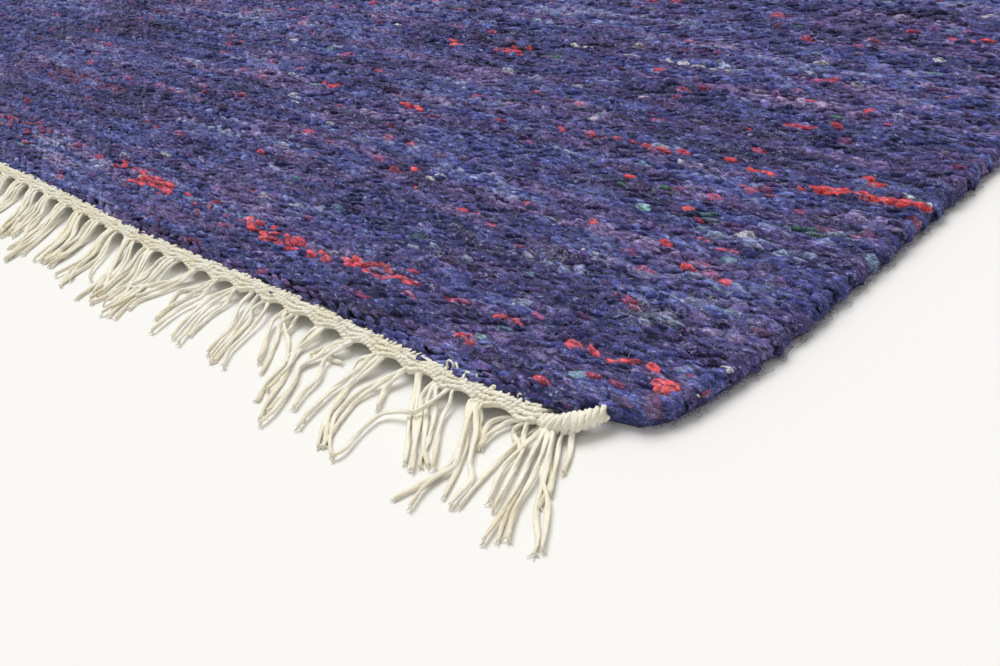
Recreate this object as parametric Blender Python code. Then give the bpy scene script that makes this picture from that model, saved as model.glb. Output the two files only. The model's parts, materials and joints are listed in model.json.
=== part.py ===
"""A hand-woven kilim lying flat: the woven field, a cotton end band with its fringe at each end,
and at each corner the band's end wrapped into a short tapered tail with its own bunch of strands.

X runs across the cloth along the weft, Y along the warp, +Z up. The origin is on the ground
under the middle. Lengths are in metres and angles in degrees.
"""

import math
from bisect import bisect_right

import bmesh
import bpy
from mathutils import Matrix, Vector

# The whole cloth.
CLOTH_WIDTH = 1.200
CLOTH_LENGTH = 1.800
CLOTH_THICKNESS = 0.0085
FRINGE_REACH = 0.048
PIECE_GAP = 0.0003
SHARP_ANGLE = 50.0

# The woven field.
BAND_DEPTH = 0.008
FIELD_COLUMNS = 20
MIDDLE_ROWS = 26
TOP_INSET = 0.0024
SIDE_HEIGHT = 0.0034
BASE_INSET = 0.0014

# How far each selvedge is drawn in (second column) at a distance from the field's end (first column).
CORNER_OUTLINE = (
    (0.0000, 0.0450),
    (0.0028, 0.0390),
    (0.0109, 0.0303),
    (0.0128, 0.0165),
    (0.0205, 0.0088),
    (0.0330, 0.0048),
    (0.0480, 0.0027),
    (0.0630, 0.0012),
    (0.0850, 0.0000),
)

# Slow waves: length of the wave, and its height.
SELVEDGE_WAVES = ((1.030, 0.0004), (0.370, 0.0003))
END_WAVES = ((0.430, 0.0017), (0.200, 0.0007))
TOP_WAVES_ALONG = ((0.330, 0.0003), (0.153, 0.0002))
TOP_WAVES_ACROSS = ((0.270, 0.0002), (0.410, 0.0002))

# The end band's section: distance inwards from the cloth's end, and height.
BAND_SECTION = {
    "outer_bottom": (0.0000, 0.0016),
    "outer_top": (-0.0004, 0.0044),
    "inner_top": (BAND_DEPTH - PIECE_GAP, 0.0083),
    "inner_bottom": (BAND_DEPTH - PIECE_GAP, 0.0008),
}

# The fringe, with two strands at each tassel.
TASSELS = 56
TASSEL_PITCH = 0.01975
STRAND_ROOT_WIDTH = 0.0030
STRAND_WIDTH = 0.0026
TASSEL_LEAN = 21.0
TASSEL_SPLAY = 5.0
CORNER_LEAN_LOSS = 0.45
SHORTEST_SHARE = 0.80
LONGEST_SHARE = 0.97

# Waves counted in tassels or strands: length of the wave, and its height in degrees or as a share.
LEAN_WAVES = ((30.0, 7.0), (12.0, 2.5))
REACH_WAVES = ((2.6, 0.5), (3.7, 0.5))

# A strand's course: share of its reach, height of its underside, its thickness, share of its width.
STRAND_COURSE = (
    (0.11, 0.0021, 0.0026, 1.00),
    (0.37, 0.0000, 0.0025, 1.00),
    (0.86, 0.0000, 0.0020, 0.85),
)

# The wrapped tail at the corner of +X and -Y: place of its axis from the corner of the cloth's
# own width and length, height, and radius.
TAIL_START = 0.0450
TAIL_COURSE = (
    (-TAIL_START + PIECE_GAP, 0.0038, 0.0045, 0.0038),
    (-0.0410, 0.0040, 0.0048, 0.0045),
    (-0.0374, 0.0051, 0.0050, 0.0046),
    (-0.0342, 0.0075, 0.0052, 0.0045),
    (-0.0312, 0.0110, 0.0056, 0.0041),
    (-0.0270, 0.0165, 0.0063, 0.0033),
)
TAIL_SIDES = 8
TAIL_END_SHARE = 0.5

# The bunch that falls from a tail: lean of each strand in degrees, and share of the fringe's reach.
BUNCH = (
    (9.0, 0.93),
    (16.0, 1.00),
    (24.0, 0.95),
    (32.0, 0.83),
)


def clear_scene():
    for item in list(bpy.data.objects):
        bpy.data.objects.remove(item, do_unlink=True)


def make_material(name, colour, roughness):
    material = bpy.data.materials.new(name)
    material.use_nodes = True
    shader = material.node_tree.nodes["Principled BSDF"]
    shader.inputs["Base Color"].default_value = (*colour, 1.0)
    shader.inputs["Roughness"].default_value = roughness
    shader.inputs["Metallic"].default_value = 0.0
    return material


def finish_object(name, shape, material, turned=False):
    """Makes an object of the finished shape; turned puts it at the cloth's other end."""
    bmesh.ops.recalc_face_normals(shape, faces=shape.faces[:])
    mesh = bpy.data.meshes.new(name)
    shape.to_mesh(mesh)
    shape.free()
    mesh.shade_smooth()
    mesh.set_sharp_from_angle(angle=math.radians(SHARP_ANGLE))
    mesh.materials.append(material)
    item = bpy.data.objects.new(name, mesh)
    bpy.context.scene.collection.objects.link(item)
    if turned:
        item.rotation_euler = (0.0, 0.0, math.pi)
    return item


def interpolate(table, place):
    """Reads the second column of a table at a place along its first column."""
    after = min(max(bisect_right([row[0] for row in table], place), 1), len(table) - 1)
    low, high = table[after - 1], table[after]
    share = min(max((place - low[0]) / (high[0] - low[0]), 0.0), 1.0)
    return low[1] + (high[1] - low[1]) * share


def waves_at(place, waves, shift):
    """The sum of a few slow waves, each shifted by its own amount."""
    total = 0.0
    for order, (length, height) in enumerate(waves, start=1):
        total += height * math.sin(2.0 * math.pi * place / length + shift * order)
    return total


def extrude_end(shape, face, is_start):
    """Extrudes a solid's end face; the old face stays only where the solid starts."""
    extruded = bmesh.ops.extrude_face_region(shape, geom=[face])["geom"]
    if not is_start:
        bmesh.ops.delete(shape, geom=[face], context="FACES_ONLY")
    return next(item for item in extruded if isinstance(item, bmesh.types.BMFace))


def row_stations():
    """Places along the warp, close together at the corners and even between them."""
    end = CLOTH_LENGTH / 2 - BAND_DEPTH
    near_end = [end - row[0] for row in CORNER_OUTLINE]
    middle = near_end[-1]
    between = [middle - 2 * middle * step / MIDDLE_ROWS for step in range(1, MIDDLE_ROWS)]
    stations = near_end + between + [-place for place in reversed(near_end)]
    return stations[::-1]


def selvedge_place(along, side):
    """Distance of a selvedge's outermost line from the middle of the cloth."""
    from_end = CLOTH_LENGTH / 2 - BAND_DEPTH - abs(along)
    drawn_in = interpolate(CORNER_OUTLINE, from_end)
    deepest = sum(height for length, height in SELVEDGE_WAVES)
    stray = deepest - waves_at(along, SELVEDGE_WAVES, side)
    share_off_corner = min(from_end / CORNER_OUTLINE[-1][0], 1.0)
    return CLOTH_WIDTH / 2 - drawn_in - stray * share_off_corner


def end_line():
    """How far the field's end line strays inwards, at each of its bends across the cloth."""
    half = CLOTH_WIDTH / 2 - TAIL_START
    table = []
    for column in range(FIELD_COLUMNS + 1):
        share = 2.0 * column / FIELD_COLUMNS - 1.0
        calm = 1.0 - share ** 8
        table.append((half * share, calm * waves_at(half * share, END_WAVES, 0.9)))
    return table


def end_stray(across, table=end_line()):
    """The same line serves the field and the band, so their gap stays even."""
    return interpolate(table, across)


def outline_point(across_share, along):
    """A point of the field's outermost line, or a point inside it."""
    across = across_share * selvedge_place(along, 1 if across_share > 0 else -1)
    end = CLOTH_LENGTH / 2 - BAND_DEPTH
    corner = CORNER_OUTLINE[-1][0]
    share_to_end = max((abs(along) - end + corner) / corner, 0.0)
    toward_end = 1 if along > 0 else -1
    stray = end_stray(-toward_end * across) * share_to_end
    return Vector((across, along - toward_end * stray, 0.0))


def inward_normals(points):
    """For each point of a closed outline, anticlockwise, the level direction into the shape."""
    normals = []
    for index, point in enumerate(points):
        before = point - points[index - 1]
        after = points[(index + 1) % len(points)] - point
        along = before.normalized() + after.normalized()
        normals.append(Vector((-along.y, along.x, 0.0)).normalized())
    return normals


def extrude_ring(shape, ring, places):
    """Extrudes the open ring of points of a shape and moves each new point to its place."""
    on_ring = set(ring)
    edges = [edge for edge in shape.edges if edge.is_boundary and set(edge.verts) <= on_ring]
    order = {vertex.co.to_tuple(6): index for index, vertex in enumerate(ring)}
    extruded = bmesh.ops.extrude_edge_only(shape, edges=edges)["geom"]
    fresh = [None] * len(ring)
    for item in extruded:
        if isinstance(item, bmesh.types.BMVert):
            fresh[order[item.co.to_tuple(6)]] = item
    for vertex, place in zip(fresh, places):
        vertex.co = place
    return fresh


def build_field(material):
    """One closed solid: an uneven top, a rounded edge all round and a flat underside."""
    rows = row_stations()
    last_row = len(rows) - 1
    columns = FIELD_COLUMNS
    shape = bmesh.new()
    bmesh.ops.create_grid(shape, x_segments=columns, y_segments=last_row, size=1.0)
    grid = {}
    for vertex in shape.verts:
        column = round((vertex.co.x + 1.0) / 2.0 * columns)
        row = round((vertex.co.y + 1.0) / 2.0 * last_row)
        grid[column, row] = vertex
        place = outline_point(2.0 * column / columns - 1.0, rows[row])
        height = CLOTH_THICKNESS + waves_at(place.x, TOP_WAVES_ACROSS, 1.0 + place.y)
        vertex.co = (place.x, place.y, height + waves_at(place.y, TOP_WAVES_ALONG, place.x))

    border = [(column, 0) for column in range(columns)]
    border += [(columns, row) for row in range(last_row)]
    border += [(column, last_row) for column in range(columns, 0, -1)]
    border += [(0, row) for row in range(last_row, 0, -1)]
    ring = [grid[key] for key in border]
    outline = [Vector((vertex.co.x, vertex.co.y, 0.0)) for vertex in ring]
    inward = inward_normals(outline)
    for vertex, point, normal in zip(ring, outline, inward):
        vertex.co.xy = (point + normal * TOP_INSET).xy

    lift = Vector((0.0, 0.0, SIDE_HEIGHT))
    ring = extrude_ring(shape, ring, [point + lift for point in outline])
    base = [point + normal * BASE_INSET for point, normal in zip(outline, inward)]
    ring = extrude_ring(shape, ring, base)
    shape.faces.new(ring)
    return finish_object("field", shape, material)


def tassel_lean(index, shift):
    """Lean of a tassel in degrees; it drifts slowly, so that neighbours keep clear."""
    toward_corner = max(2.0 * index / (TASSELS - 1) - 1.0, 0.0)
    lean = TASSEL_LEAN + waves_at(index, LEAN_WAVES, shift)
    return lean * (1.0 - CORNER_LEAN_LOSS * toward_corner ** 5)


def strand_reach(index, shift):
    """A strand's reach outwards, uneven from one to the next."""
    share = 0.5 + 0.5 * waves_at(index, REACH_WAVES, shift)
    return FRINGE_REACH * (SHORTEST_SHARE + (LONGEST_SHARE - SHORTEST_SHARE) * share)


def grow_strand(shape, root, start, lean, reach):
    """Extrudes a four-sided strand from its root face: out in a low arch, down, then level to a point.

    start is the middle of the root, and lean is the slant towards +X.
    """
    slope = math.tan(math.radians(lean))
    half_width = STRAND_WIDTH / math.cos(math.radians(lean)) / 2
    middle = root.calc_center_median()
    corners = [(1 if vertex.co.x > middle.x else -1, vertex.co.z > middle.z) for vertex in root.verts]
    face = root
    for share, underside, thickness, width_share in STRAND_COURSE:
        face = bmesh.ops.extrude_discrete_faces(shape, faces=[face])["faces"][0]
        across = start.x + slope * reach * share
        along = start.y - reach * share
        for vertex, (side, is_top) in zip(face.verts, corners):
            height = underside + (thickness if is_top else 0.0)
            vertex.co = (across + side * half_width * width_share, along, height)
    face = bmesh.ops.extrude_discrete_faces(shape, faces=[face])["faces"][0]
    tip = Vector((start.x + slope * reach, start.y - reach, 0.0))
    bmesh.ops.pointmerge(shape, verts=face.verts[:], merge_co=tip)


def build_band(name, material, shift, turned):
    """The flat woven band, with the strands of its tassels fused in along its outer face."""
    half = CLOTH_WIDTH / 2 - TAIL_START
    centres = [(index - (TASSELS - 1) / 2) * TASSEL_PITCH for index in range(TASSELS)]
    stations = [-half]
    for centre in centres:
        stations += [centre - STRAND_ROOT_WIDTH, centre, centre + STRAND_ROOT_WIDTH]
    stations.append(half)

    def set_section(vertices, across):
        edge = -CLOTH_LENGTH / 2 + end_stray(across)
        for vertex, (inwards, height) in zip(vertices, BAND_SECTION.values()):
            vertex.co = (across, edge + inwards, height)

    shape = bmesh.new()
    face = shape.faces.new([shape.verts.new() for _ in BAND_SECTION])
    set_section(face.verts, -half)
    for across in stations[1:]:
        face = extrude_end(shape, face, across == stations[1])
        set_section(face.verts, across)
    bmesh.ops.recalc_face_normals(shape, faces=shape.faces[:])

    outer = [item for item in shape.faces if item.normal.y < -0.9]
    outer.sort(key=lambda item: item.calc_center_median().x)
    for index in range(TASSELS):
        for side, root in ((-1, outer[3 * index + 1]), (1, outer[3 * index + 2])):
            lean = tassel_lean(index, shift) + side * TASSEL_SPLAY
            reach = strand_reach(2 * index + side, shift)
            grow_strand(shape, root, root.calc_center_median(), lean, reach)
    return finish_object(name, shape, material, turned)


def build_tail(name, material, mirrored, turned):
    """The wrapped tail at a corner and the bunch of strands that falls from its root."""
    corner = Vector((CLOTH_WIDTH / 2, -CLOTH_LENGTH / 2, 0.0))
    course = [Vector(row[:3]) + corner for row in TAIL_COURSE]
    angles = [math.radians((side - 0.5) * 360.0 / TAIL_SIDES) for side in range(TAIL_SIDES)]

    def set_ring(vertices, step):
        ahead = course[min(step + 1, len(course) - 1)] - course[max(step - 1, 0)]
        direction = ahead.normalized() if step else Vector((1.0, 0.0, 0.0))
        outward = Vector((direction.y, -direction.x, 0.0)).normalized()
        upward = outward.cross(direction)
        for vertex, angle in zip(vertices, angles):
            spoke = math.cos(angle) * outward + math.sin(angle) * upward
            vertex.co = course[step] + TAIL_COURSE[step][3] * spoke

    shape = bmesh.new()
    face = shape.faces.new([shape.verts.new() for _ in angles])
    set_ring(face.verts, 0)
    roots = []
    for step in range(1, len(course)):
        older = set(shape.faces)
        face = extrude_end(shape, face, step == 1)
        set_ring(face.verts, step)
        sides = [item for item in shape.faces if item not in older and item is not face]
        roots.append(min(sides, key=lambda item: item.calc_center_median().y))
    tip_radius = TAIL_COURSE[-1][3]
    bmesh.ops.inset_individual(shape, faces=[face], thickness=tip_radius * (1.0 - TAIL_END_SHARE))
    outwards = (course[-1] - course[-2]).normalized() * tip_radius * TAIL_END_SHARE
    bmesh.ops.translate(shape, verts=face.verts[:], vec=outwards)

    for root, (lean, share) in zip(roots, BUNCH):
        start = root.calc_center_median()
        reach = start.y + CLOTH_LENGTH / 2 + FRINGE_REACH * share
        grow_strand(shape, root, start, lean, reach)
    if mirrored:
        flip = Matrix.Scale(-1.0, 4, (1.0, 0.0, 0.0))
        bmesh.ops.transform(shape, matrix=flip, verts=shape.verts[:])
    return finish_object(name, shape, material, turned)


def main():
    clear_scene()
    yarn = make_material("dyed_yarn", (0.048, 0.048, 0.160), 0.95)
    cotton = make_material("cotton_cord", (0.830, 0.790, 0.610), 0.90)
    build_field(yarn)
    build_band("band_front", cotton, 0.4, False)
    build_band("band_back", cotton, 2.1, True)
    build_tail("tail_front_right", cotton, False, False)
    build_tail("tail_front_left", cotton, True, False)
    build_tail("tail_back_left", cotton, False, True)
    build_tail("tail_back_right", cotton, True, True)


main()
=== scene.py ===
import json
import math
import random
from bisect import bisect_right

import bmesh
import bpy
from mathutils import Matrix, Vector, noise

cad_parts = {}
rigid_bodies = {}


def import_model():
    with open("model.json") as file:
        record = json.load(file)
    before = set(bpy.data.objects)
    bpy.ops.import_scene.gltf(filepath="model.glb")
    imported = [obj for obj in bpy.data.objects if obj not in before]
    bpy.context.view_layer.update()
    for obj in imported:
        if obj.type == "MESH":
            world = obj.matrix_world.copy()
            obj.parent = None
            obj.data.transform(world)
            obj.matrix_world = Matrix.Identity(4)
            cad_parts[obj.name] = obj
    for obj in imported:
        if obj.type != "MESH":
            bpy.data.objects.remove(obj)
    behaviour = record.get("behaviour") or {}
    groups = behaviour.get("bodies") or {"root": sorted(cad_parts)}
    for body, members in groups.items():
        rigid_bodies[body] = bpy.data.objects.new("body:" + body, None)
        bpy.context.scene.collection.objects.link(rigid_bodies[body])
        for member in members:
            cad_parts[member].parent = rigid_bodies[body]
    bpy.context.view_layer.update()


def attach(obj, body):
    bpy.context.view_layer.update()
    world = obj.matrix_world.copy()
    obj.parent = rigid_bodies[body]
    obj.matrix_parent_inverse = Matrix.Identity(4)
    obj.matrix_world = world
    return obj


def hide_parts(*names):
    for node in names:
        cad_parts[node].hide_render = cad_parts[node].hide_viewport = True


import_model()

print("kilim: the packed solids are loaded")

# the rug's own sizes, in metres, as in the solids
rug = {
    "width": 1.200,
    "length": 1.800,
    "thickness": 0.0085,
    "bandDepth": 0.008,
    "warpPitch": 0.0049375,
    "pickPitch": 0.0026,
    "selvedgeWaves": ((1.030, 0.0004), (0.370, 0.0003)),
    "endWaves": ((0.430, 0.0017), (0.200, 0.0007)),
    "topWavesAlong": ((0.330, 0.0003), (0.153, 0.0002)),
    "topWavesAcross": ((0.270, 0.0002), (0.410, 0.0002)),
    "endStations": 20,
    "tailStart": 0.0450,
}

# how far a selvedge is drawn in (second) at a distance from the field's end (first)
cornerOutline = (
    (0.0000, 0.0450),
    (0.0028, 0.0390),
    (0.0109, 0.0303),
    (0.0128, 0.0165),
    (0.0205, 0.0088),
    (0.0330, 0.0048),
    (0.0480, 0.0027),
    (0.0630, 0.0012),
    (0.0850, 0.0000),
)

halfWidth = rug["width"] / 2
halfLength = rug["length"] / 2
fieldEnd = halfLength - rug["bandDepth"]
bandHalf = halfWidth - rug["tailStart"]


def readTable(table, place):
    after = min(max(bisect_right([row[0] for row in table], place), 1), len(table) - 1)
    low, high = table[after - 1], table[after]
    share = min(max((place - low[0]) / (high[0] - low[0]), 0.0), 1.0)
    return low[1] + (high[1] - low[1]) * share


def wavesAt(place, waves, shift):
    return sum(height * math.sin(2 * math.pi * place / length + shift * order)
               for order, (length, height) in enumerate(waves, start=1))


def makeEndLine():
    shares = [2 * step / rug["endStations"] - 1 for step in range(rug["endStations"] + 1)]
    return [(bandHalf * share, (1 - share ** 8) * wavesAt(bandHalf * share, rug["endWaves"], 0.9))
            for share in shares]


endLine = makeEndLine()


def endStray(across):
    return readTable(endLine, across)


def selvedgePlace(along, side):
    fromEnd = fieldEnd - abs(along)
    deepest = sum(height for length, height in rug["selvedgeWaves"])
    stray = deepest - wavesAt(along, rug["selvedgeWaves"], side)
    offCorner = min(max(fromEnd, 0.0) / cornerOutline[-1][0], 1.0)
    return halfWidth - readTable(cornerOutline, fromEnd) - stray * offCorner


def clothTop(across, along):
    height = rug["thickness"] + wavesAt(across, rug["topWavesAcross"], 1.0 + along)
    return height + wavesAt(along, rug["topWavesAlong"], across)


def colour(red, green, blue, alpha=1.0):
    # a screen colour from 0 to 255, as the linear one that a shader takes
    def linear(value):
        value /= 255
        return value / 12.92 if value <= 0.04045 else ((value + 0.055) / 1.055) ** 2.4
    return (linear(red), linear(green), linear(blue), alpha)


# the camera, fitted to the rows of weft, the selvedge and the tassels of the photograph
view = {
    "place": (0.81463, -1.09339, 0.25082),
    "azimuth": 53.94,
    "pitch": 32.60,
    "roll": 14.06,
    "lens": 43.50,
    "sensor": 36.0,
    "imageSize": (1000, 666),
}

camera = bpy.data.objects.new("camera", bpy.data.cameras.new("camera"))
bpy.context.scene.collection.objects.link(camera)
camera.data.lens = view["lens"]
camera.data.sensor_width = view["sensor"]
camera.data.clip_start = 0.01
camera.data.clip_end = 50.0
camera.matrix_world = (
    Matrix.Translation(view["place"])
    @ Matrix.Rotation(math.radians(view["azimuth"]), 4, "Z")
    @ Matrix.Rotation(math.radians(90 - view["pitch"]), 4, "X")
    @ Matrix.Rotation(math.radians(-view["roll"]), 4, "Z")
)
bpy.context.scene.camera = camera


def spotAt(pixelX, pixelY, height):
    # the place at this height above the floor that shows at a pixel of the photograph
    wide, high = view["imageSize"]
    focal = view["lens"] / view["sensor"] * wide
    across, up = (pixelX - wide / 2) / focal, (high / 2 - pixelY) / focal
    ray = camera.matrix_world.to_3x3() @ Vector((across, up, -1.0))
    start = Vector(view["place"])
    return start + ray * ((height - start.z) / ray.z)


def makeNode(tree, kind, inputs=None, **settings):
    item = tree.nodes.new(kind)
    for key, value in settings.items():
        setattr(item, key, value)
    for key, value in (inputs or {}).items():
        if isinstance(value, bpy.types.NodeSocket):
            tree.links.new(value, item.inputs[key])
        else:
            item.inputs[key].default_value = value
    return item


light = {
    "world": 0.52,
    "sun": 2.04,
    "sunSpread": 42.0,
    "sunTurn": (26.0, 0.0, -122.0),
    "floor": colour(239, 238, 236),
}

world = bpy.data.worlds.new("studio")
world.use_nodes = True
world.node_tree.nodes["Background"].inputs["Color"].default_value = colour(255, 254, 250)
world.node_tree.nodes["Background"].inputs["Strength"].default_value = light["world"]
bpy.context.scene.world = world
bpy.context.scene.view_settings.view_transform = "Standard"

sun = bpy.data.objects.new("softSun", bpy.data.lights.new("softSun", "SUN"))
bpy.context.scene.collection.objects.link(sun)
sun.data.energy = light["sun"]
sun.data.angle = math.radians(light["sunSpread"])
sun.rotation_euler = [math.radians(turn) for turn in light["sunTurn"]]


def makeMaterial(name, roughness, sheen=0.0, sheenTint=(1, 1, 1, 1)):
    material = bpy.data.materials.new(name)
    material.use_nodes = True
    shader = material.node_tree.nodes["Principled BSDF"]
    shader.inputs["Roughness"].default_value = roughness
    shader.inputs["Specular IOR Level"].default_value = 0.25
    shader.inputs["Sheen Weight"].default_value = sheen
    shader.inputs["Sheen Roughness"].default_value = 0.5
    shader.inputs["Sheen Tint"].default_value = sheenTint
    return material, material.node_tree, shader


def placeObject(name, mesh, material=None):
    item = bpy.data.objects.new(name, mesh)
    bpy.context.scene.collection.objects.link(item)
    if material:
        mesh.materials.clear()
        mesh.materials.append(material)
    return item


def makeFloor():
    material, tree, shader = makeMaterial("paleFloor", 0.8)
    shader.inputs["Base Color"].default_value = light["floor"]
    shape = bmesh.new()
    bmesh.ops.create_grid(shape, x_segments=1, y_segments=1, size=9.0)
    mesh = bpy.data.meshes.new("studioFloor")
    shape.to_mesh(mesh)
    shape.free()
    item = placeObject("studioFloor", mesh, material)
    item.location.z = -0.0002
    return item


studioFloor = makeFloor()
print("kilim: camera, floor and light are set")

# the tones of the mixed yarn, and the scales of its patterns in repeats to the metre
yarn = {
    "blues": (
        (0.28, colour(34, 35, 77)),
        (0.39, colour(50, 52, 111)),
        (0.47, colour(66, 70, 137)),
        (0.55, colour(84, 92, 163)),
        (0.63, colour(112, 124, 182)),
        (0.74, colour(158, 168, 204)),
    ),
    "violets": (
        (0.28, colour(41, 34, 71)),
        (0.40, colour(67, 55, 104)),
        (0.50, colour(92, 75, 132)),
        (0.62, colour(126, 105, 158)),
        (0.76, colour(168, 146, 180)),
    ),
    "flecks": (
        (0.00, colour(222, 72, 74)),
        (0.24, colour(176, 62, 84)),
        (0.42, colour(206, 96, 128)),
        (0.56, colour(224, 224, 226)),
        (0.68, colour(128, 172, 178)),
        (0.78, colour(112, 50, 78)),
        (0.92, colour(66, 116, 88)),
    ),
    "fleckShare": 0.975,
    "streakScale": (15.0, 150.0, 0.0),
    "zoneScale": (5.0, 20.0, 0.0),
    "hueScale": (9.0, 120.0, 7.0),
    "matScale": (70.0, 190.0, 120.0),
    "fibreScale": (260.0, 760.0, 600.0),
    # painted shade and highlight at the scale of the fibres: the noise range, then the darkest and brightest
    # factors
    "fibreShadeSpread": (0.37, 0.64, 0.24, 1.86),
    "gatherScale": (7.0, 150.0, 3.0),
    "blendScale": (260.0, 420.0, 400.0),
    "speckScale": (420.0, 800.0, 700.0),
    "curlScale": (210.0, 360.0, 300.0),
    "patchScale": (45.0, 130.0, 70.0),
    "curlWidth": 0.040,
    "curlTone": colour(166, 168, 204),
    "darkTone": colour(30, 28, 58),
    # painted shade: how much darker the cloth under the floats is coloured
    "shadeUnderFloats": (0.82, 0.82, 0.83, 1.0),
    "finish": (0.92, 0.35, colour(150, 150, 200)),
    "bump": (0.0012, 0.9),
}
cotton = {
    "creams": (colour(255, 252, 238), colour(252, 245, 222)),
    "tan": colour(208, 184, 134),
    "driftScale": (70.0, 70.0, 90.0),
    "fibreScale": (900.0, 900.0, 900.0),
    "tipScale": (60.0, 60.0, 60.0),
    "finish": (0.88, 0.60, colour(255, 252, 242)),
    "bump": (0.0005, 0.6),
}


def makeGroup(name, inputs, outputs):
    tree = bpy.data.node_groups.new(name, "ShaderNodeTree")
    for label, kind in inputs:
        tree.interface.new_socket(label, in_out="INPUT", socket_type=kind)
    for label, kind in outputs:
        tree.interface.new_socket(label, in_out="OUTPUT", socket_type=kind)
    return tree, tree.nodes.new("NodeGroupInput"), tree.nodes.new("NodeGroupOutput")


def makeRamp(tree, factor, stops, interpolation="LINEAR"):
    item = makeNode(tree, "ShaderNodeValToRGB", {"Fac": factor})
    ramp = item.color_ramp
    ramp.interpolation = interpolation
    ramp.elements[0].position, ramp.elements[0].color = stops[0]
    ramp.elements[1].position, ramp.elements[1].color = stops[-1]
    for place, tone in stops[1:-1]:
        ramp.elements.new(place).color = tone
    return item.outputs["Color"]


def makeMath(tree, operation, first, second=0.0, third=None):
    values = {0: first, 1: second}
    if third is not None:
        values[2] = third
    return makeNode(tree, "ShaderNodeMath", values, operation=operation).outputs[0]


def makeNoise(tree, vector, scale, detail=2.0, roughness=0.5, distortion=0.0):
    sized = makeNode(tree, "ShaderNodeVectorMath", {0: vector, 1: scale}, operation="MULTIPLY").outputs[0]
    values = {"Vector": sized, "Scale": 1.0, "Detail": detail, "Roughness": roughness}
    values["Distortion"] = distortion
    return makeNode(tree, "ShaderNodeTexNoise", values).outputs["Fac"]


def makeMix(tree, factor, first, second, blend="MIX"):
    item = makeNode(tree, "ShaderNodeMix", data_type="RGBA", blend_type=blend)
    for socket, value in ((item.inputs["Factor"], factor), (item.inputs[6], first), (item.inputs[7], second)):
        if isinstance(value, bpy.types.NodeSocket):
            tree.links.new(value, socket)
        else:
            socket.default_value = value
    return item.outputs[2]


def makeRange(tree, value, low, high, newLow=0.0, newHigh=1.0):
    values = {"Value": value, "From Min": low, "From Max": high, "To Min": newLow, "To Max": newHigh}
    return makeNode(tree, "ShaderNodeMapRange", values).outputs["Result"]


def makeGrey(tree, value):
    return makeNode(tree, "ShaderNodeCombineColor", {0: value, 1: value, 2: value}).outputs[0]


def addBump(tree, shader, height, distance, strength):
    values = {"Height": height, "Distance": distance, "Strength": strength}
    bump = makeNode(tree, "ShaderNodeBump", values)
    tree.links.new(bump.outputs["Normal"], shader.inputs["Normal"])


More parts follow.
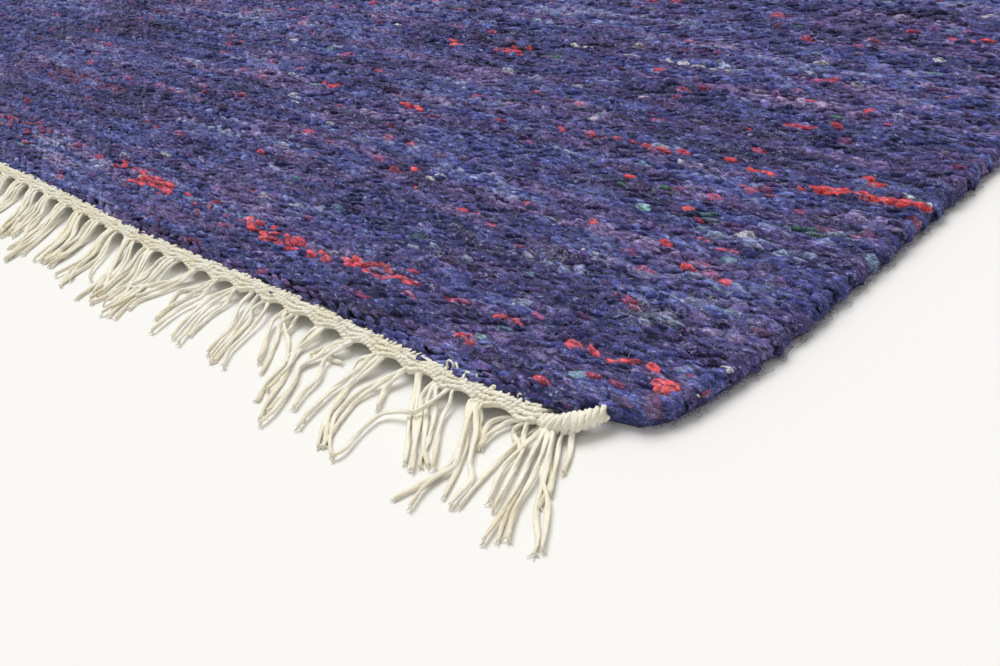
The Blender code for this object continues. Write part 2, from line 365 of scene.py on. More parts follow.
def makeYarnGroup():
    # mixed recycled yarn: a tone for each float that drifts along its row, then fibres within it
    tree, entry, exit = makeGroup(
        "mixedYarn",
        [("Heart", "NodeSocketVector"), ("Position", "NodeSocketVector"), ("Tint", "NodeSocketColor"),
         ("Tinted", "NodeSocketFloat")],
        [("Color", "NodeSocketColor"), ("Fibre", "NodeSocketFloat")],
    )
    heart, position = entry.outputs["Heart"], entry.outputs["Position"]
    streak = makeNoise(tree, heart, yarn["streakScale"], 3.0, 0.6)
    zone = makeNoise(tree, heart, yarn["zoneScale"], 2.0, 0.5)
    hue = makeNoise(tree, heart, yarn["hueScale"], 2.0, 0.55)
    chance = makeNode(tree, "ShaderNodeTexWhiteNoise", {"Vector": heart}, noise_dimensions="3D")
    jitter = chance.outputs["Value"]
    matted = makeNoise(tree, position, yarn["matScale"], 4.0, 0.68, 0.4)
    tone = makeMath(tree, "MULTIPLY_ADD", streak, 0.95, makeMath(tree, "MULTIPLY", zone, 0.60))
    tone = makeMath(tree, "MULTIPLY_ADD", matted, 0.70, tone)
    tone = makeMath(tree, "ADD", tone, makeMath(tree, "MULTIPLY_ADD", jitter, 0.06, -0.668))
    blues = makeRamp(tree, tone, yarn["blues"])
    violets = makeRamp(tree, tone, yarn["violets"])
    shade = makeMix(tree, makeRange(tree, hue, 0.46, 0.58), blues, violets)

    # odd floats in other colours, and rows where the coral and plum ones gather
    isFleck = makeMath(tree, "GREATER_THAN", jitter, yarn["fleckShare"])
    gather = makeNoise(tree, heart, yarn["gatherScale"], 2.0, 0.5)
    gather = makeRange(tree, gather, 0.66, 0.72)
    gather = makeMath(tree, "MULTIPLY", gather, makeMath(tree, "GREATER_THAN", jitter, 0.5))
    isFleck = makeMath(tree, "MAXIMUM", isFleck, gather)
    fleckPick = makeNode(tree, "ShaderNodeSeparateColor", {0: chance.outputs["Color"]}).outputs[1]
    flecks = makeRamp(tree, fleckPick, yarn["flecks"], "CONSTANT")
    shade = makeMix(tree, makeMath(tree, "MULTIPLY", isFleck, 0.72), shade, flecks)

    # a yarn with a tint of its own keeps some blue fibres in it
    blend = makeNoise(tree, position, yarn["blendScale"], 3.0, 0.6)
    blend = makeRange(tree, blend, 0.34, 0.48, 0.55, 1.0)
    blend = makeMath(tree, "MULTIPLY", entry.outputs["Tinted"], blend)
    shade = makeMix(tree, blend, shade, entry.outputs["Tint"])

    # pale and dark tufts caught between the fibres
    speck = makeNoise(tree, position, yarn["speckScale"], 2.0, 0.5, 0.6)
    paleTuft = makeMath(tree, "MULTIPLY", makeRange(tree, speck, 0.57, 0.67),
                        makeRange(tree, matted, 0.42, 0.60, 0.16, 0.85))
    shade = makeMix(tree, paleTuft, shade, yarn["curlTone"])
    plain = makeMath(tree, "MULTIPLY_ADD", entry.outputs["Tinted"], -0.8, 1.0)
    darkTuft = makeMath(tree, "MULTIPLY", makeRange(tree, speck, 0.42, 0.31, 0.0, 0.62), plain)
    shade = makeMix(tree, darkTuft, shade, yarn["darkTone"])

    # fine fibres: painted shade between them and a painted highlight on their backs, with curling pale ones
    # over all
    fibre = makeNoise(tree, position, yarn["fibreScale"], 4.0, 0.62, 0.5)
    paintedFibreShading = makeRange(tree, fibre, *yarn["fibreShadeSpread"])
    shade = makeMix(tree, 1.0, shade, makeGrey(tree, paintedFibreShading), "MULTIPLY")
    curl = makeNoise(tree, position, yarn["curlScale"], 2.0, 0.55, 1.2)
    offLine = makeMath(tree, "ABSOLUTE", makeMath(tree, "SUBTRACT", curl, 0.5))
    line = makeRange(tree, offLine, 0.0, yarn["curlWidth"], 1.0, 0.0)
    patch = makeNoise(tree, position, yarn["patchScale"], 3.0, 0.6)
    patch = makeRange(tree, patch, 0.42, 0.66, 0.05, 0.62)
    shade = makeMix(tree, makeMath(tree, "MULTIPLY", line, patch), shade, yarn["curlTone"])
    tree.links.new(shade, exit.inputs["Color"])
    tree.links.new(makeMath(tree, "MULTIPLY_ADD", line, 0.25, fibre), exit.inputs["Fibre"])
    return tree


def makeCottonGroup():
    # undyed cotton: cream with faint warmer drifts and fine fibres along the cord
    tree, entry, exit = makeGroup(
        "creamCotton",
        [("Position", "NodeSocketVector"), ("Tan", "NodeSocketFloat")],
        [("Color", "NodeSocketColor"), ("Fibre", "NodeSocketFloat")],
    )
    position, tan = entry.outputs["Position"], entry.outputs["Tan"]
    drift = makeNoise(tree, position, cotton["driftScale"], 2.0, 0.6)
    cream = makeMix(tree, makeRange(tree, drift, 0.38, 0.72), *cotton["creams"])
    cream = makeMix(tree, tan, cream, cotton["tan"])
    fibre = makeNoise(tree, position, cotton["fibreScale"], 3.0, 0.6, 0.8)
    # painted shade and highlight at the scale of the fibres
    paintedFibreShading = makeRange(tree, fibre, 0.30, 0.70, 0.93, 1.06)
    cream = makeMix(tree, 1.0, cream, makeGrey(tree, paintedFibreShading), "MULTIPLY")
    tree.links.new(cream, exit.inputs["Color"])
    tree.links.new(fibre, exit.inputs["Fibre"])
    return tree


yarnGroup = makeYarnGroup()
cottonGroup = makeCottonGroup()


def readAttribute(tree, name):
    return makeNode(tree, "ShaderNodeAttribute", attribute_name=name)


def makeFloatMaterial():
    # the raised yarn pieces: each knows its own heart and any tint of its own
    material, tree, shader = makeMaterial("dyedYarnFloats", *yarn["finish"])
    position = makeNode(tree, "ShaderNodeTexCoord").outputs["Object"]
    group = makeNode(tree, "ShaderNodeGroup", node_tree=yarnGroup)
    tree.links.new(readAttribute(tree, "heart").outputs["Vector"], group.inputs["Heart"])
    tree.links.new(position, group.inputs["Position"])
    tint = readAttribute(tree, "tint")
    tree.links.new(tint.outputs["Color"], group.inputs["Tint"])
    tree.links.new(tint.outputs["Alpha"], group.inputs["Tinted"])
    tree.links.new(group.outputs["Color"], shader.inputs["Base Color"])
    addBump(tree, shader, group.outputs["Fibre"], *yarn["bump"])
    return material


def makeFieldMaterial():
    # the cloth under the floats: the same yarn, with each float's place worked out from the weave
    material, tree, shader = makeMaterial("dyedYarnCloth", *yarn["finish"])
    position = makeNode(tree, "ShaderNodeTexCoord").outputs["Object"]
    place = makeNode(tree, "ShaderNodeSeparateXYZ", {0: position})
    floatLength = 2 * rug["warpPitch"]
    rows = makeMath(tree, "DIVIDE", place.outputs["Y"], rug["pickPitch"])
    row = makeMath(tree, "FLOOR", rows)
    shift = makeMath(tree, "MULTIPLY", makeMath(tree, "FLOORED_MODULO", row, 2.0), 0.5)
    columns = makeMath(tree, "ADD", makeMath(tree, "DIVIDE", place.outputs["X"], floatLength), shift)
    column = makeMath(tree, "FLOOR", columns)
    middle = makeMath(tree, "SUBTRACT", makeMath(tree, "ADD", column, 0.5), shift)
    heartX = makeMath(tree, "MULTIPLY", middle, floatLength)
    heartY = makeMath(tree, "MULTIPLY", makeMath(tree, "ADD", row, 0.5), rug["pickPitch"])
    heart = makeNode(tree, "ShaderNodeCombineXYZ", {0: heartX, 1: heartY}).outputs[0]
    group = makeNode(tree, "ShaderNodeGroup", node_tree=yarnGroup)
    tree.links.new(heart, group.inputs["Heart"])
    tree.links.new(position, group.inputs["Position"])
    # painted shade: the cloth's colour is darkened where it lies in the shade of the floats
    shaded = makeMix(tree, 1.0, group.outputs["Color"], yarn["shadeUnderFloats"], "MULTIPLY")
    tree.links.new(shaded, shader.inputs["Base Color"])

    # each float is a low mound in its own brick of the weave
    def mound(value, power):
        offset = makeMath(tree, "SUBTRACT", makeMath(tree, "FRACT", value), 0.5)
        away = makeMath(tree, "ABSOLUTE", makeMath(tree, "MULTIPLY", offset, 2.0))
        return makeMath(tree, "SUBTRACT", 1.0, makeMath(tree, "POWER", away, power))
    height = makeMath(tree, "MULTIPLY", mound(columns, 3.0), mound(rows, 2.0))
    height = makeMath(tree, "MULTIPLY_ADD", group.outputs["Fibre"], 0.8, height)
    addBump(tree, shader, height, *yarn["bump"])
    return material


def makeCottonMaterial(name, tanFromTip, tan=0.0):
    # strings turn tan towards their tips, a band has one tan all over
    material, tree, shader = makeMaterial(name, *cotton["finish"])
    group = makeNode(tree, "ShaderNodeGroup", node_tree=cottonGroup)
    position = makeNode(tree, "ShaderNodeTexCoord").outputs["Object"]
    tree.links.new(position, group.inputs["Position"])
    if tanFromTip:
        tip = readAttribute(tree, "tipShare").outputs["Fac"]
        drift = makeNoise(tree, position, cotton["tipScale"], 2.0)
        late = makeRange(tree, makeMath(tree, "MULTIPLY_ADD", drift, 1.1, tip), 1.22, 1.72, 0.02, 0.50)
        tree.links.new(late, group.inputs["Tan"])
    else:
        group.inputs["Tan"].default_value = tan
    tree.links.new(group.outputs["Color"], shader.inputs["Base Color"])
    addBump(tree, shader, group.outputs["Fibre"], *cotton["bump"])
    return material


floatMaterial = makeFloatMaterial()
fieldMaterial = makeFieldMaterial()
bandMaterial = makeCottonMaterial("cottonBand", False)
# painted shade: the band's core, seen in the hollows under its edge, is tinted a little tan to look shaded
coreShadeMaterial = makeCottonMaterial("cottonBandCoreShade", False, 0.12)
stringMaterial = makeCottonMaterial("cottonStrings", True)
print("kilim: yarn and cotton finishes are made")


def finishShape(shape, name):
    mesh = bpy.data.meshes.new(name)
    shape.to_mesh(mesh)
    shape.free()
    mesh.shade_smooth()
    return mesh


def keepOnFloor(mesh, lowest=0.0002):
    for vertex in mesh.vertices:
        vertex.co.z = max(vertex.co.z, lowest)


def tilt(dice, spread, middle=0.0):
    # a chance turn in radians, from its spread and middle in degrees
    return math.radians(dice.gauss(middle, spread))


def keepMesh(item, name):
    # the finished mesh of an object with its modifiers or bevel, as a plain mesh
    bpy.context.view_layer.update()
    ready = item.evaluated_get(bpy.context.evaluated_depsgraph_get())
    mesh = bpy.data.meshes.new_from_object(ready)
    mesh.name = name
    bpy.data.objects.remove(item, do_unlink=True)
    return mesh


def scatterCopies(name, shapes, spots):
    # spots hold a place, turn, size, kind, heart and tint for each copy
    shelf = bpy.data.collections.new(name + "Shapes")
    for order, mesh in enumerate(shapes):
        shelf.objects.link(bpy.data.objects.new(f"{name}Shape{order:02d}", mesh))
    tree = bpy.data.node_groups.new(name + "Copies", "GeometryNodeTree")
    tree.interface.new_socket("Geometry", in_out="INPUT", socket_type="NodeSocketGeometry")
    tree.interface.new_socket("Geometry", in_out="OUTPUT", socket_type="NodeSocketGeometry")
    entry, exit = tree.nodes.new("NodeGroupInput"), tree.nodes.new("NodeGroupOutput")

    def named(label, kind):
        item = makeNode(tree, "GeometryNodeInputNamedAttribute", {"Name": label}, data_type=kind)
        return next(socket for socket in item.outputs if socket.enabled and socket.name == "Attribute")
    kinds = makeNode(tree, "GeometryNodeCollectionInfo", {"Collection": shelf, "Separate Children": True,
                                                          "Reset Children": True})
    turn = makeNode(tree, "FunctionNodeEulerToRotation", {"Euler": named("turn", "FLOAT_VECTOR")})
    copies = makeNode(tree, "GeometryNodeInstanceOnPoints", {
        "Points": entry.outputs[0], "Instance": kinds.outputs[0], "Pick Instance": True,
        "Instance Index": named("kind", "INT"), "Rotation": turn.outputs[0],
        "Scale": named("size", "FLOAT_VECTOR")})
    whole = makeNode(tree, "GeometryNodeRealizeInstances", {"Geometry": copies.outputs[0]})
    tree.links.new(whole.outputs[0], exit.inputs[0])

    cloud = bpy.data.meshes.new(name + "Spots")
    shape = bmesh.new()
    for spot in spots:
        shape.verts.new(spot["place"])
    shape.to_mesh(cloud)
    shape.free()
    for label, kind, field in (("turn", "FLOAT_VECTOR", "vector"), ("size", "FLOAT_VECTOR", "vector"),
                               ("heart", "FLOAT_VECTOR", "vector"), ("tint", "FLOAT_COLOR", "color")):
        values = [number for spot in spots for number in spot[label]]
        cloud.attributes.new(label, kind, "POINT").data.foreach_set(field, values)
    cloud.attributes.new("kind", "INT", "POINT").data.foreach_set("value", [spot["kind"] for spot in spots])
    holder = placeObject(name + "Holder", cloud)
    holder.modifiers.new("copies", "NODES").node_group = tree
    mesh = keepMesh(holder, name)
    for label in ("turn", "size", "kind"):
        if label in mesh.attributes:
            mesh.attributes.remove(mesh.attributes[label])
    for item in list(shelf.objects):
        bpy.data.objects.remove(item, do_unlink=True)
    bpy.data.collections.remove(shelf)
    return mesh


def makeProfile(name, corners):
    # a closed section for cords: distance from the middle at even angles
    outline = bpy.data.curves.new(name, "CURVE")
    outline.dimensions = "2D"
    spline = outline.splines.new("POLY")
    spline.points.add(len(corners) - 1)
    for index, reach in enumerate(corners):
        angle = 2 * math.pi * index / len(corners)
        spline.points[index].co = (reach * math.cos(angle), reach * math.sin(angle), 0.0, 1.0)
    spline.use_cyclic_u = True
    return placeObject(name, outline)


def cordMesh(name, runs, profile):
    # runs hold points (x, y, z), radius and tilt lists for each cord, in order from root to tip
    curve = bpy.data.curves.new(name, "CURVE")
    curve.dimensions = "3D"
    curve.bevel_mode = "OBJECT"
    curve.bevel_object = profile
    curve.use_fill_caps = True
    for run in runs:
        spline = curve.splines.new("POLY")
        spline.points.add(len(run["points"]) - 1)
        for point, place, radius, tilt in zip(spline.points, run["points"], run["radius"], run["tilt"]):
            point.co = (*place, 1.0)
            point.radius = radius
            point.tilt = tilt
    mesh = keepMesh(placeObject(name, curve), name)
    mesh.shade_smooth()
    # how far along its cord each vertex lies, from the surface's own UV
    shares = mesh.attributes.new("tipShare", "FLOAT", "POINT")
    if mesh.uv_layers:
        uvs = mesh.uv_layers[0].data
        for loop in mesh.loops:
            share = shares.data[loop.vertex_index]
            share.value = max(share.value, uvs[loop.index].uv.x)
    return mesh


def joinPieces(items, name):
    with bpy.context.temp_override(active_object=items[0], object=items[0], selected_objects=items,
                                   selected_editable_objects=items):
        bpy.ops.object.join()
    items[0].name = name
    items[0].data.name = name
    return items[0]


# the woven field: its grid, how far it lies under the floats, and the steps down its edges
cloth = {
    "columns": 160,
    "rows": 280,
    "drop": 0.0004,
    "topInset": 0.0024,
    "sideHeight": 0.0036,
    "wallInset": 0.0016,
    "baseInset": 0.0012,
    "endTuck": 0.0040,
    "ridge": 0.00035,
}


def clothPoint(share, along):
    side = 1 if share > 0 else -1
    across = share * selvedgePlace(along, side)
    toEnd = max((abs(along) - fieldEnd + cornerOutline[-1][0]) / cornerOutline[-1][0], 0.0)
    toward = 1 if along > 0 else -1
    return across, along - toward * endStray(-toward * across) * toEnd


def buildField():
    shape = bmesh.new()
    bmesh.ops.create_grid(shape, x_segments=cloth["columns"], y_segments=cloth["rows"], size=1.0)
    rims = {}
    for vertex in shape.verts:
        share, run = vertex.co.x, vertex.co.y
        # rows crowd towards both ends, where the corners curve
        along = fieldEnd * (1.12 * run - 0.12 * run ** 5)
        x, y = clothPoint(share, along)
        ridge = noise.noise(Vector((x * 26, y * 210, 1.7)))
        ridge += 0.6 * noise.noise(Vector((x * 60, y * 330, 8.1)))
        outX = (1 if share > 0 else -1) if abs(share) > 0.9999 else 0
        outY = (1 if run > 0 else -1) if abs(run) > 0.9999 else 0
        if outX or outY:
            rims[vertex] = Vector((outX, outY, 0.0))
            vertex.co = (x - outX * cloth["topInset"], y - outY * cloth["topInset"], clothTop(x, y) - 0.0016)
        else:
            vertex.co = (x, y, clothTop(x, y) - cloth["drop"] + cloth["ridge"] * ridge)
    for height, step, tuck in ((cloth["sideHeight"], cloth["topInset"] - cloth["wallInset"], 0.0),
                               (0.0, -cloth["baseInset"], cloth["endTuck"])):
        edges = [edge for edge in shape.edges if edge.is_boundary]
        places = {vertex.co.to_tuple(7): out for vertex, out in rims.items()}
        fresh = bmesh.ops.extrude_edge_only(shape, edges=edges)["geom"]
        rims = {}
        for vertex in fresh:
            if isinstance(vertex, bmesh.types.BMVert):
                out = places[vertex.co.to_tuple(7)]
                vertex.co = (vertex.co.x + out.x * step, vertex.co.y + out.y * (step - tuck), height)
                rims[vertex] = out
    bmesh.ops.holes_fill(shape, edges=[edge for edge in shape.edges if edge.is_boundary], sides=0)
    bmesh.ops.recalc_face_normals(shape, faces=shape.faces[:])
    item = placeObject("wovenField", finishShape(shape, "wovenField"), fieldMaterial)
    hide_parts("field")
    return item


wovenField = buildField()
print("kilim: woven field,", len(wovenField.data.polygons), "faces")

# weft floats, one for each warp they cross, on the region that the photograph shows
floats = {
    "halfSize": (0.0048, 0.0029, 0.0012),
    "kinds": 8,
    "sink": 0.0009,
    "turn": 13.0,
    "feather": 0.030,
    "split": 0.255,
    "region": ((-0.530, -0.010), (0.030, -0.010), (0.030, 0.240), (-0.045, 0.392),
               (-0.380, 0.308), (-0.890, 0.186), (-0.895, 0.160)),
    "photoCorner": (0.5825, -0.897),
    "fromEnd": 0.0034,
}


def makeFloatShape(seed, around=6, along=4, rough=0.24):
    dice = random.Random(seed)
    shape = bmesh.new()
    bmesh.ops.create_uvsphere(shape, u_segments=around, v_segments=along, radius=1.0)
    bmesh.ops.rotate(shape, verts=shape.verts[:], matrix=Matrix.Rotation(math.radians(90), 3, "Y"))
    sway = dice.uniform(-0.22, 0.22)
    for vertex in shape.verts:
        swell = 1 + dice.uniform(-rough, rough)
        bow = sway * (1 - 2 * vertex.co.x ** 2)
        x = vertex.co.x * (1 + dice.uniform(-rough, rough) * 0.5)
        vertex.co = (x, vertex.co.y * swell + bow, vertex.co.z * swell)
    return finishShape(shape, f"floatShape{seed}")


def outsideRegion(x, y):
    # how far a place lies outside the region that carries separate floats; the region is convex
    photoX, photoY = floats["photoCorner"]
    corners = [Vector((photoX + px, photoY + py)) for px, py in floats["region"]]
    far = -1.0
    for index, corner in enumerate(corners):
        ahead = (corners[(index + 1) % len(corners)] - corner).normalized()
        away = Vector((x, y)) - corner
        far = max(far, away.x * ahead.y - away.y * ahead.x)
    return far


# the colours of the odd yarns
coral, red, pink = (238, 90, 86), (208, 64, 58), (194, 92, 126)
plum, white, mint = (124, 56, 84), (226, 228, 228), (136, 176, 178)
green, paleSlate, rose = (66, 106, 84), (146, 156, 190), (152, 78, 104)
navy, dusk = (44, 46, 96), (106, 80, 112)
# their read-off places: pixel, length along the weft in millimetres, rows, colour, share of floats
oddYarns = (
    (570, 344, 9, 1, coral, 1.0), (586, 350, 8, 1, coral, 1.0), (611, 358, 9, 1, coral, 1.0),
    (631, 364, 9, 1, coral, 1.0), (651, 370, 8, 1, coral, 1.0), (592, 378, 7, 1, red, 1.0),
    (611, 383, 5, 1, pink, 1.0), (570, 371, 7, 1, mint, 0.8), (479, 351, 6, 1, red, 0.8),
    (471, 304, 8, 1, pink, 0.8), (507, 304, 8, 1, coral, 0.9), (495, 311, 9, 1, coral, 0.9),
    (511, 319, 8, 1, coral, 0.9), (488, 338, 6, 1, mint, 0.7), (642, 403, 14, 2, dusk, 0.8),
    (560, 400, 26, 5, navy, 1.0),
    (152, 181, 36, 4, coral, 0.65), (176, 189, 30, 4, coral, 0.45), (217, 201, 7, 1, red, 1.0),
    (205, 211, 56, 5, rose, 0.40), (260, 230, 36, 3, coral, 0.70), (286, 241, 36, 4, coral, 0.70),
    (310, 250, 26, 3, coral, 0.70), (326, 256, 14, 2, coral, 0.7), (362, 266, 28, 3, coral, 0.55),
    (390, 274, 28, 4, coral, 0.55), (412, 280, 14, 2, red, 0.6), (415, 270, 12, 1, red, 0.8),
    (124, 167, 20, 3, red, 0.50), (24, 127, 70, 4, rose, 0.60), (70, 77, 60, 5, plum, 0.45),
    (70, 152, 90, 2, paleSlate, 0.5), (90, 82, 90, 5, plum, 0.5), (128, 80, 12, 2, coral, 0.8),
    (212, 125, 80, 3, paleSlate, 0.45), (264, 153, 10, 1, coral, 1.0), (297, 100, 8, 1, white, 0.9),
    (328, 85, 12, 1, red, 0.8), (457, 42, 14, 2, coral, 0.7), (514, 50, 26, 4, red, 0.7),
    (582, 46, 14, 1, white, 0.9), (398, 26, 12, 1, white, 0.8), (660, 70, 10, 1, red, 0.9),
    (410, 107, 22, 2, coral, 0.6), (502, 120, 12, 1, red, 0.8), (416, 169, 9, 1, coral, 0.9),
    (413, 187, 9, 1, coral, 0.9), (445, 200, 10, 1, red, 0.9), (458, 209, 9, 1, red, 0.8),
    (492, 189, 10, 1, pink, 0.7), (525, 200, 9, 1, coral, 0.8), (552, 220, 9, 1, red, 0.8),
    (587, 219, 8, 1, coral, 0.8), (440, 177, 11, 2, white, 0.8), (638, 95, 7, 1, white, 0.9),
    (576, 132, 30, 1, red, 0.7), (625, 140, 26, 1, red, 0.8), (668, 150, 26, 1, red, 0.8),
    (640, 146, 40, 1, rose, 0.6), (726, 161, 10, 1, red, 0.8), (862, 178, 8, 1, red, 0.9),
    (889, 187, 9, 1, red, 0.9), (897, 196, 8, 1, white, 0.9), (630, 176, 7, 1, coral, 0.9),
    (632, 185, 6, 1, green, 0.9), (657, 188, 9, 2, green, 0.6), (809, 231, 12, 2, green, 0.7),
    (692, 208, 8, 1, coral, 0.9), (765, 190, 24, 2, rose, 0.6), (710, 195, 8, 1, pink, 0.7),
    (808, 102, 8, 1, red, 0.9), (878, 112, 9, 1, red, 0.9), (845, 127, 9, 1, red, 0.8),
    (843, 119, 8, 1, mint, 0.8), (975, 42, 26, 2, coral, 0.8), (985, 55, 9, 1, red, 0.8),
    (990, 17, 6, 1, white, 0.9), (677, 245, 9, 1, red, 0.9), (707, 239, 9, 1, pink, 0.8),
    (723, 246, 9, 1, pink, 0.8), (694, 271, 8, 1, coral, 0.9), (719, 279, 9, 1, coral, 1.0),
    (655, 315, 36, 5, paleSlate, 0.35), (750, 240, 60, 3, paleSlate, 0.40),
    (840, 240, 40, 3, paleSlate, 0.45), (560, 262, 30, 5, paleSlate, 0.35),
    (430, 250, 50, 3, paleSlate, 0.35), (915, 222, 8, 3, plum, 0.8),
    (630, 54, 4, 1, white, 1.0), (644, 57, 4, 1, white, 1.0), (670, 62, 4, 1, white, 1.0),
    (687, 64, 4, 1, white, 1.0), (700, 66, 4, 1, white, 1.0), (715, 68, 4, 1, white, 1.0),
    (732, 71, 4, 1, white, 1.0), (770, 286, 9, 1, white, 0.8),
)


def placeOddYarns():
    placed = []
    for pixelX, pixelY, length, rows, tone, share in oddYarns:
        spot = spotAt(pixelX, pixelY, rug["thickness"])
        halfLong = max(length / 2000, rug["warpPitch"])
        placed.append((spot.x, spot.y, halfLong, rows * rug["pickPitch"] / 2, colour(*tone), share))
    return placed


def tintAt(x, y, placed, dice):
    for centreX, centreY, halfLong, halfWide, tone, share in placed:
        if abs(x - centreX) < halfLong and abs(y - centreY) < halfWide and dice.random() < share:
            return (*[part * dice.uniform(0.85, 1.1) for part in tone[:3]], dice.uniform(0.82, 1.0))
    return (0.0, 0.0, 0.0, 0.0)


def edgeDrop(x, y):
    # the cloth rounds off towards its selvedges and its ends
    inside = selvedgePlace(y, 1 if x > 0 else -1) - abs(x)
    toEnd = max(y, -fieldEnd) + halfLength - endStray(x) - floats["fromEnd"]
    return 0.0030 * max(1 - inside / 0.0075, 0.0) ** 2 + 0.0008 * max(1 - toEnd / 0.006, 0.0) ** 2


def buildFloats():
    dice = random.Random(11)
    placed = placeOddYarns()
    spots = {"near": [], "far": []}
    floatLength = 2 * rug["warpPitch"]
    firstRow = math.floor(-halfLength / rug["pickPitch"])
    for row in range(firstRow, 0):
        y = (row + 0.5) * rug["pickPitch"]
        shift = 0.5 * (row % 2)
        thick = 1 + 0.22 * noise.noise(Vector((0.0, y * 300, 4.4)))
        for column in range(-63, 64):
            x = (column + 0.5 - shift) * floatLength
            side = 1 if x > 0 else -1
            if abs(x) > selvedgePlace(y, side) - 0.0035:
                continue
            outside = outsideRegion(x, y)
            if outside > floats["feather"] * dice.random():
                continue
            # the last rows lie over the inner part of the cotton band, but stop short of the corner tails
            clear = floats["fromEnd"] + 0.0026 * max((abs(x) - 0.50) / (bandHalf - 0.50), 0) ** 2
            if abs(x) > bandHalf - 0.003:
                clear = 0.0094 + (abs(x) - bandHalf) * 0.5
            if y < -halfLength + endStray(x) + clear:
                continue
            slub = thick * (1 + 0.18 * noise.noise(Vector((x * 40, y * 300, 2.2))))
            height = clothTop(x, y) - floats["sink"] - edgeDrop(x, y) + dice.gauss(0, 0.00028)
            halfLong, halfWide, halfHigh = floats["halfSize"]
            spots["near" if x > floats["split"] else "far"].append({
                "place": (x + dice.gauss(0, 0.0005), y + dice.gauss(0, 0.0003), height),
                "turn": (dice.uniform(0, 6.28), tilt(dice, 4), tilt(dice, floats["turn"])),
                "size": (halfLong * dice.uniform(0.85, 1.12), halfWide * slub * dice.uniform(0.85, 1.15),
                         halfHigh * slub * dice.uniform(0.8, 1.2)),
                "kind": dice.randrange(floats["kinds"]),
                "heart": (x, y, 0.0),
                "tint": tintAt(x, y, placed, dice),
            })
    shapes = [makeFloatShape(seed) for seed in range(floats["kinds"])]
    items = []
    for name, label in (("weftFloatsRight", "near"), ("weftFloatsLeft", "far")):
        mesh = scatterCopies(name, shapes, spots[label])
        mesh.shade_smooth()
        items.append(placeObject(name, mesh, floatMaterial))
        print("kilim:", name, len(spots[label]), "floats,", len(mesh.polygons), "faces")
    return items


weftFloats = buildFloats()

# thicker scraps worked in with the weft: pixel, half sizes in millimetres, turn, colour
scraps = (
    (666, 388, 6.4, 4.2, 2.6, 8, coral), (660, 383, 4.0, 2.6, 2.4, -14, coral),
    (672, 391, 3.6, 2.8, 2.4, 30, coral), (688, 386, 2.6, 1.8, 2.0, 10, white),
    (692, 391, 2.4, 1.6, 1.9, 40, white), (541, 381, 4.6, 2.4, 2.1, -4, red),
    (464, 336, 4.4, 3.0, 2.3, 10, red), (471, 341, 3.8, 2.6, 2.3, -20, red),
    (645, 207, 6.2, 2.6, 2.1, 3, mint), (754, 170, 5.6, 2.2, 2.1, 2, coral),
    (766, 173, 5.6, 2.2, 2.1, -3, coral), (440, 177, 5.0, 2.2, 2.0, 4, white),
    (927, 203, 2.0, 1.6, 2.6, 70, white), (703, 386, 2.6, 1.9, 2.0, 60, rose),
    (640, 322, 5.0, 2.4, 2.0, 18, paleSlate), (665, 316, 4.6, 2.2, 2.0, -12, paleSlate),
    (522, 303, 5.0, 2.6, 2.0, 14, paleSlate), (726, 366, 2.8, 1.8, 1.8, 5, white),
    (494, 384, 4.4, 2.2, 1.7, 0, navy), (503, 388, 4.4, 2.2, 1.7, 0, navy),
    (513, 390, 4.4, 2.4, 1.7, 0, navy), (523, 395, 4.4, 2.2, 1.7, 0, navy),
    (534, 398, 4.4, 2.2, 1.7, 0, navy), (555, 399, 5.4, 3.2, 1.9, 0, navy),
    (567, 402, 5.4, 3.2, 1.9, 0, navy),
)
# one yarn of the field crosses the band, where two lengths of it meet: pixel, height, half size, turn
crossing = {
    "pixel": (271, 291),
    "height": 0.0066,
    "halfSize": (0.0058, 0.0013, 0.0013),
    "turn": -24.0,
}
redLine = {
    "from": (803, 187),
    "to": (921, 206),
    "step": 0.0030,
    "halfSize": (0.0046, 0.0030, 0.0022),
}


def buildScraps():
    dice = random.Random(17)
    spots = []

    def addScrap(x, y, size, turn, tone, height=None):
        if height is None:
            height = clothTop(x, y) - 0.0010 - edgeDrop(x, y)
        spots.append({
            "place": (x, y, height),
            "turn": (dice.uniform(0, 6.28), tilt(dice, 4), math.radians(turn)),
            "size": size,
            "kind": dice.randrange(3),
            "heart": (x, y, 0.0),
            "tint": colour(*tone),
        })
    for pixelX, pixelY, long, wide, high, turn, tone in scraps:
        spot = spotAt(pixelX, pixelY, rug["thickness"])
        addScrap(spot.x, spot.y, (long / 1000, wide / 1000, high / 1000), turn, tone)
    over = spotAt(*crossing["pixel"], crossing["height"])
    addScrap(over.x, over.y, crossing["halfSize"], crossing["turn"], navy, crossing["height"])
    start, end = (spotAt(*redLine[label], rug["thickness"]) for label in ("from", "to"))
    count = round((end - start).length / redLine["step"])
    for index in range(count + 1):
        place = start.lerp(end, index / count)
        grow = dice.uniform(0.8, 1.15) * (0.7 if index < 2 else 1.0)
        size = [part * grow for part in redLine["halfSize"]]
        y = place.y + dice.gauss(0, 0.0003)
        turn = dice.gauss(4, 7)
        addScrap(place.x, y, size, turn, red if dice.random() < 0.8 else coral)
    mesh = scatterCopies("yarnScraps", [makeFloatShape(seed, 10, 6, 0.16) for seed in range(41, 44)], spots)
    mesh.shade_smooth()
    print("kilim: yarn scraps,", len(spots), "scraps,", len(mesh.polygons), "faces")
    return placeObject("yarnScraps", mesh, floatMaterial)


yarnScraps = buildScraps()

# the yarn turns round the warp at each selvedge, one turn for a row or more
turns = {
    "pitch": (0.0036, 0.0088),
    "tube": 0.34,
    "arc": 205.0,
    "halfHeight": 0.0030,
    "centreHeight": 0.0044,
    "rough": 0.12,
    "cornerLift": 0.0016,
}


def cornerLift(along):
    # the selvedge stands a little off the floor at the corners
    return turns["cornerLift"] * math.exp(-((fieldEnd - abs(along)) / 0.045) ** 2)


def selvedgeSlope(along, side):
    return (selvedgePlace(along + 0.001, side) - selvedgePlace(along - 0.001, side)) / 0.002


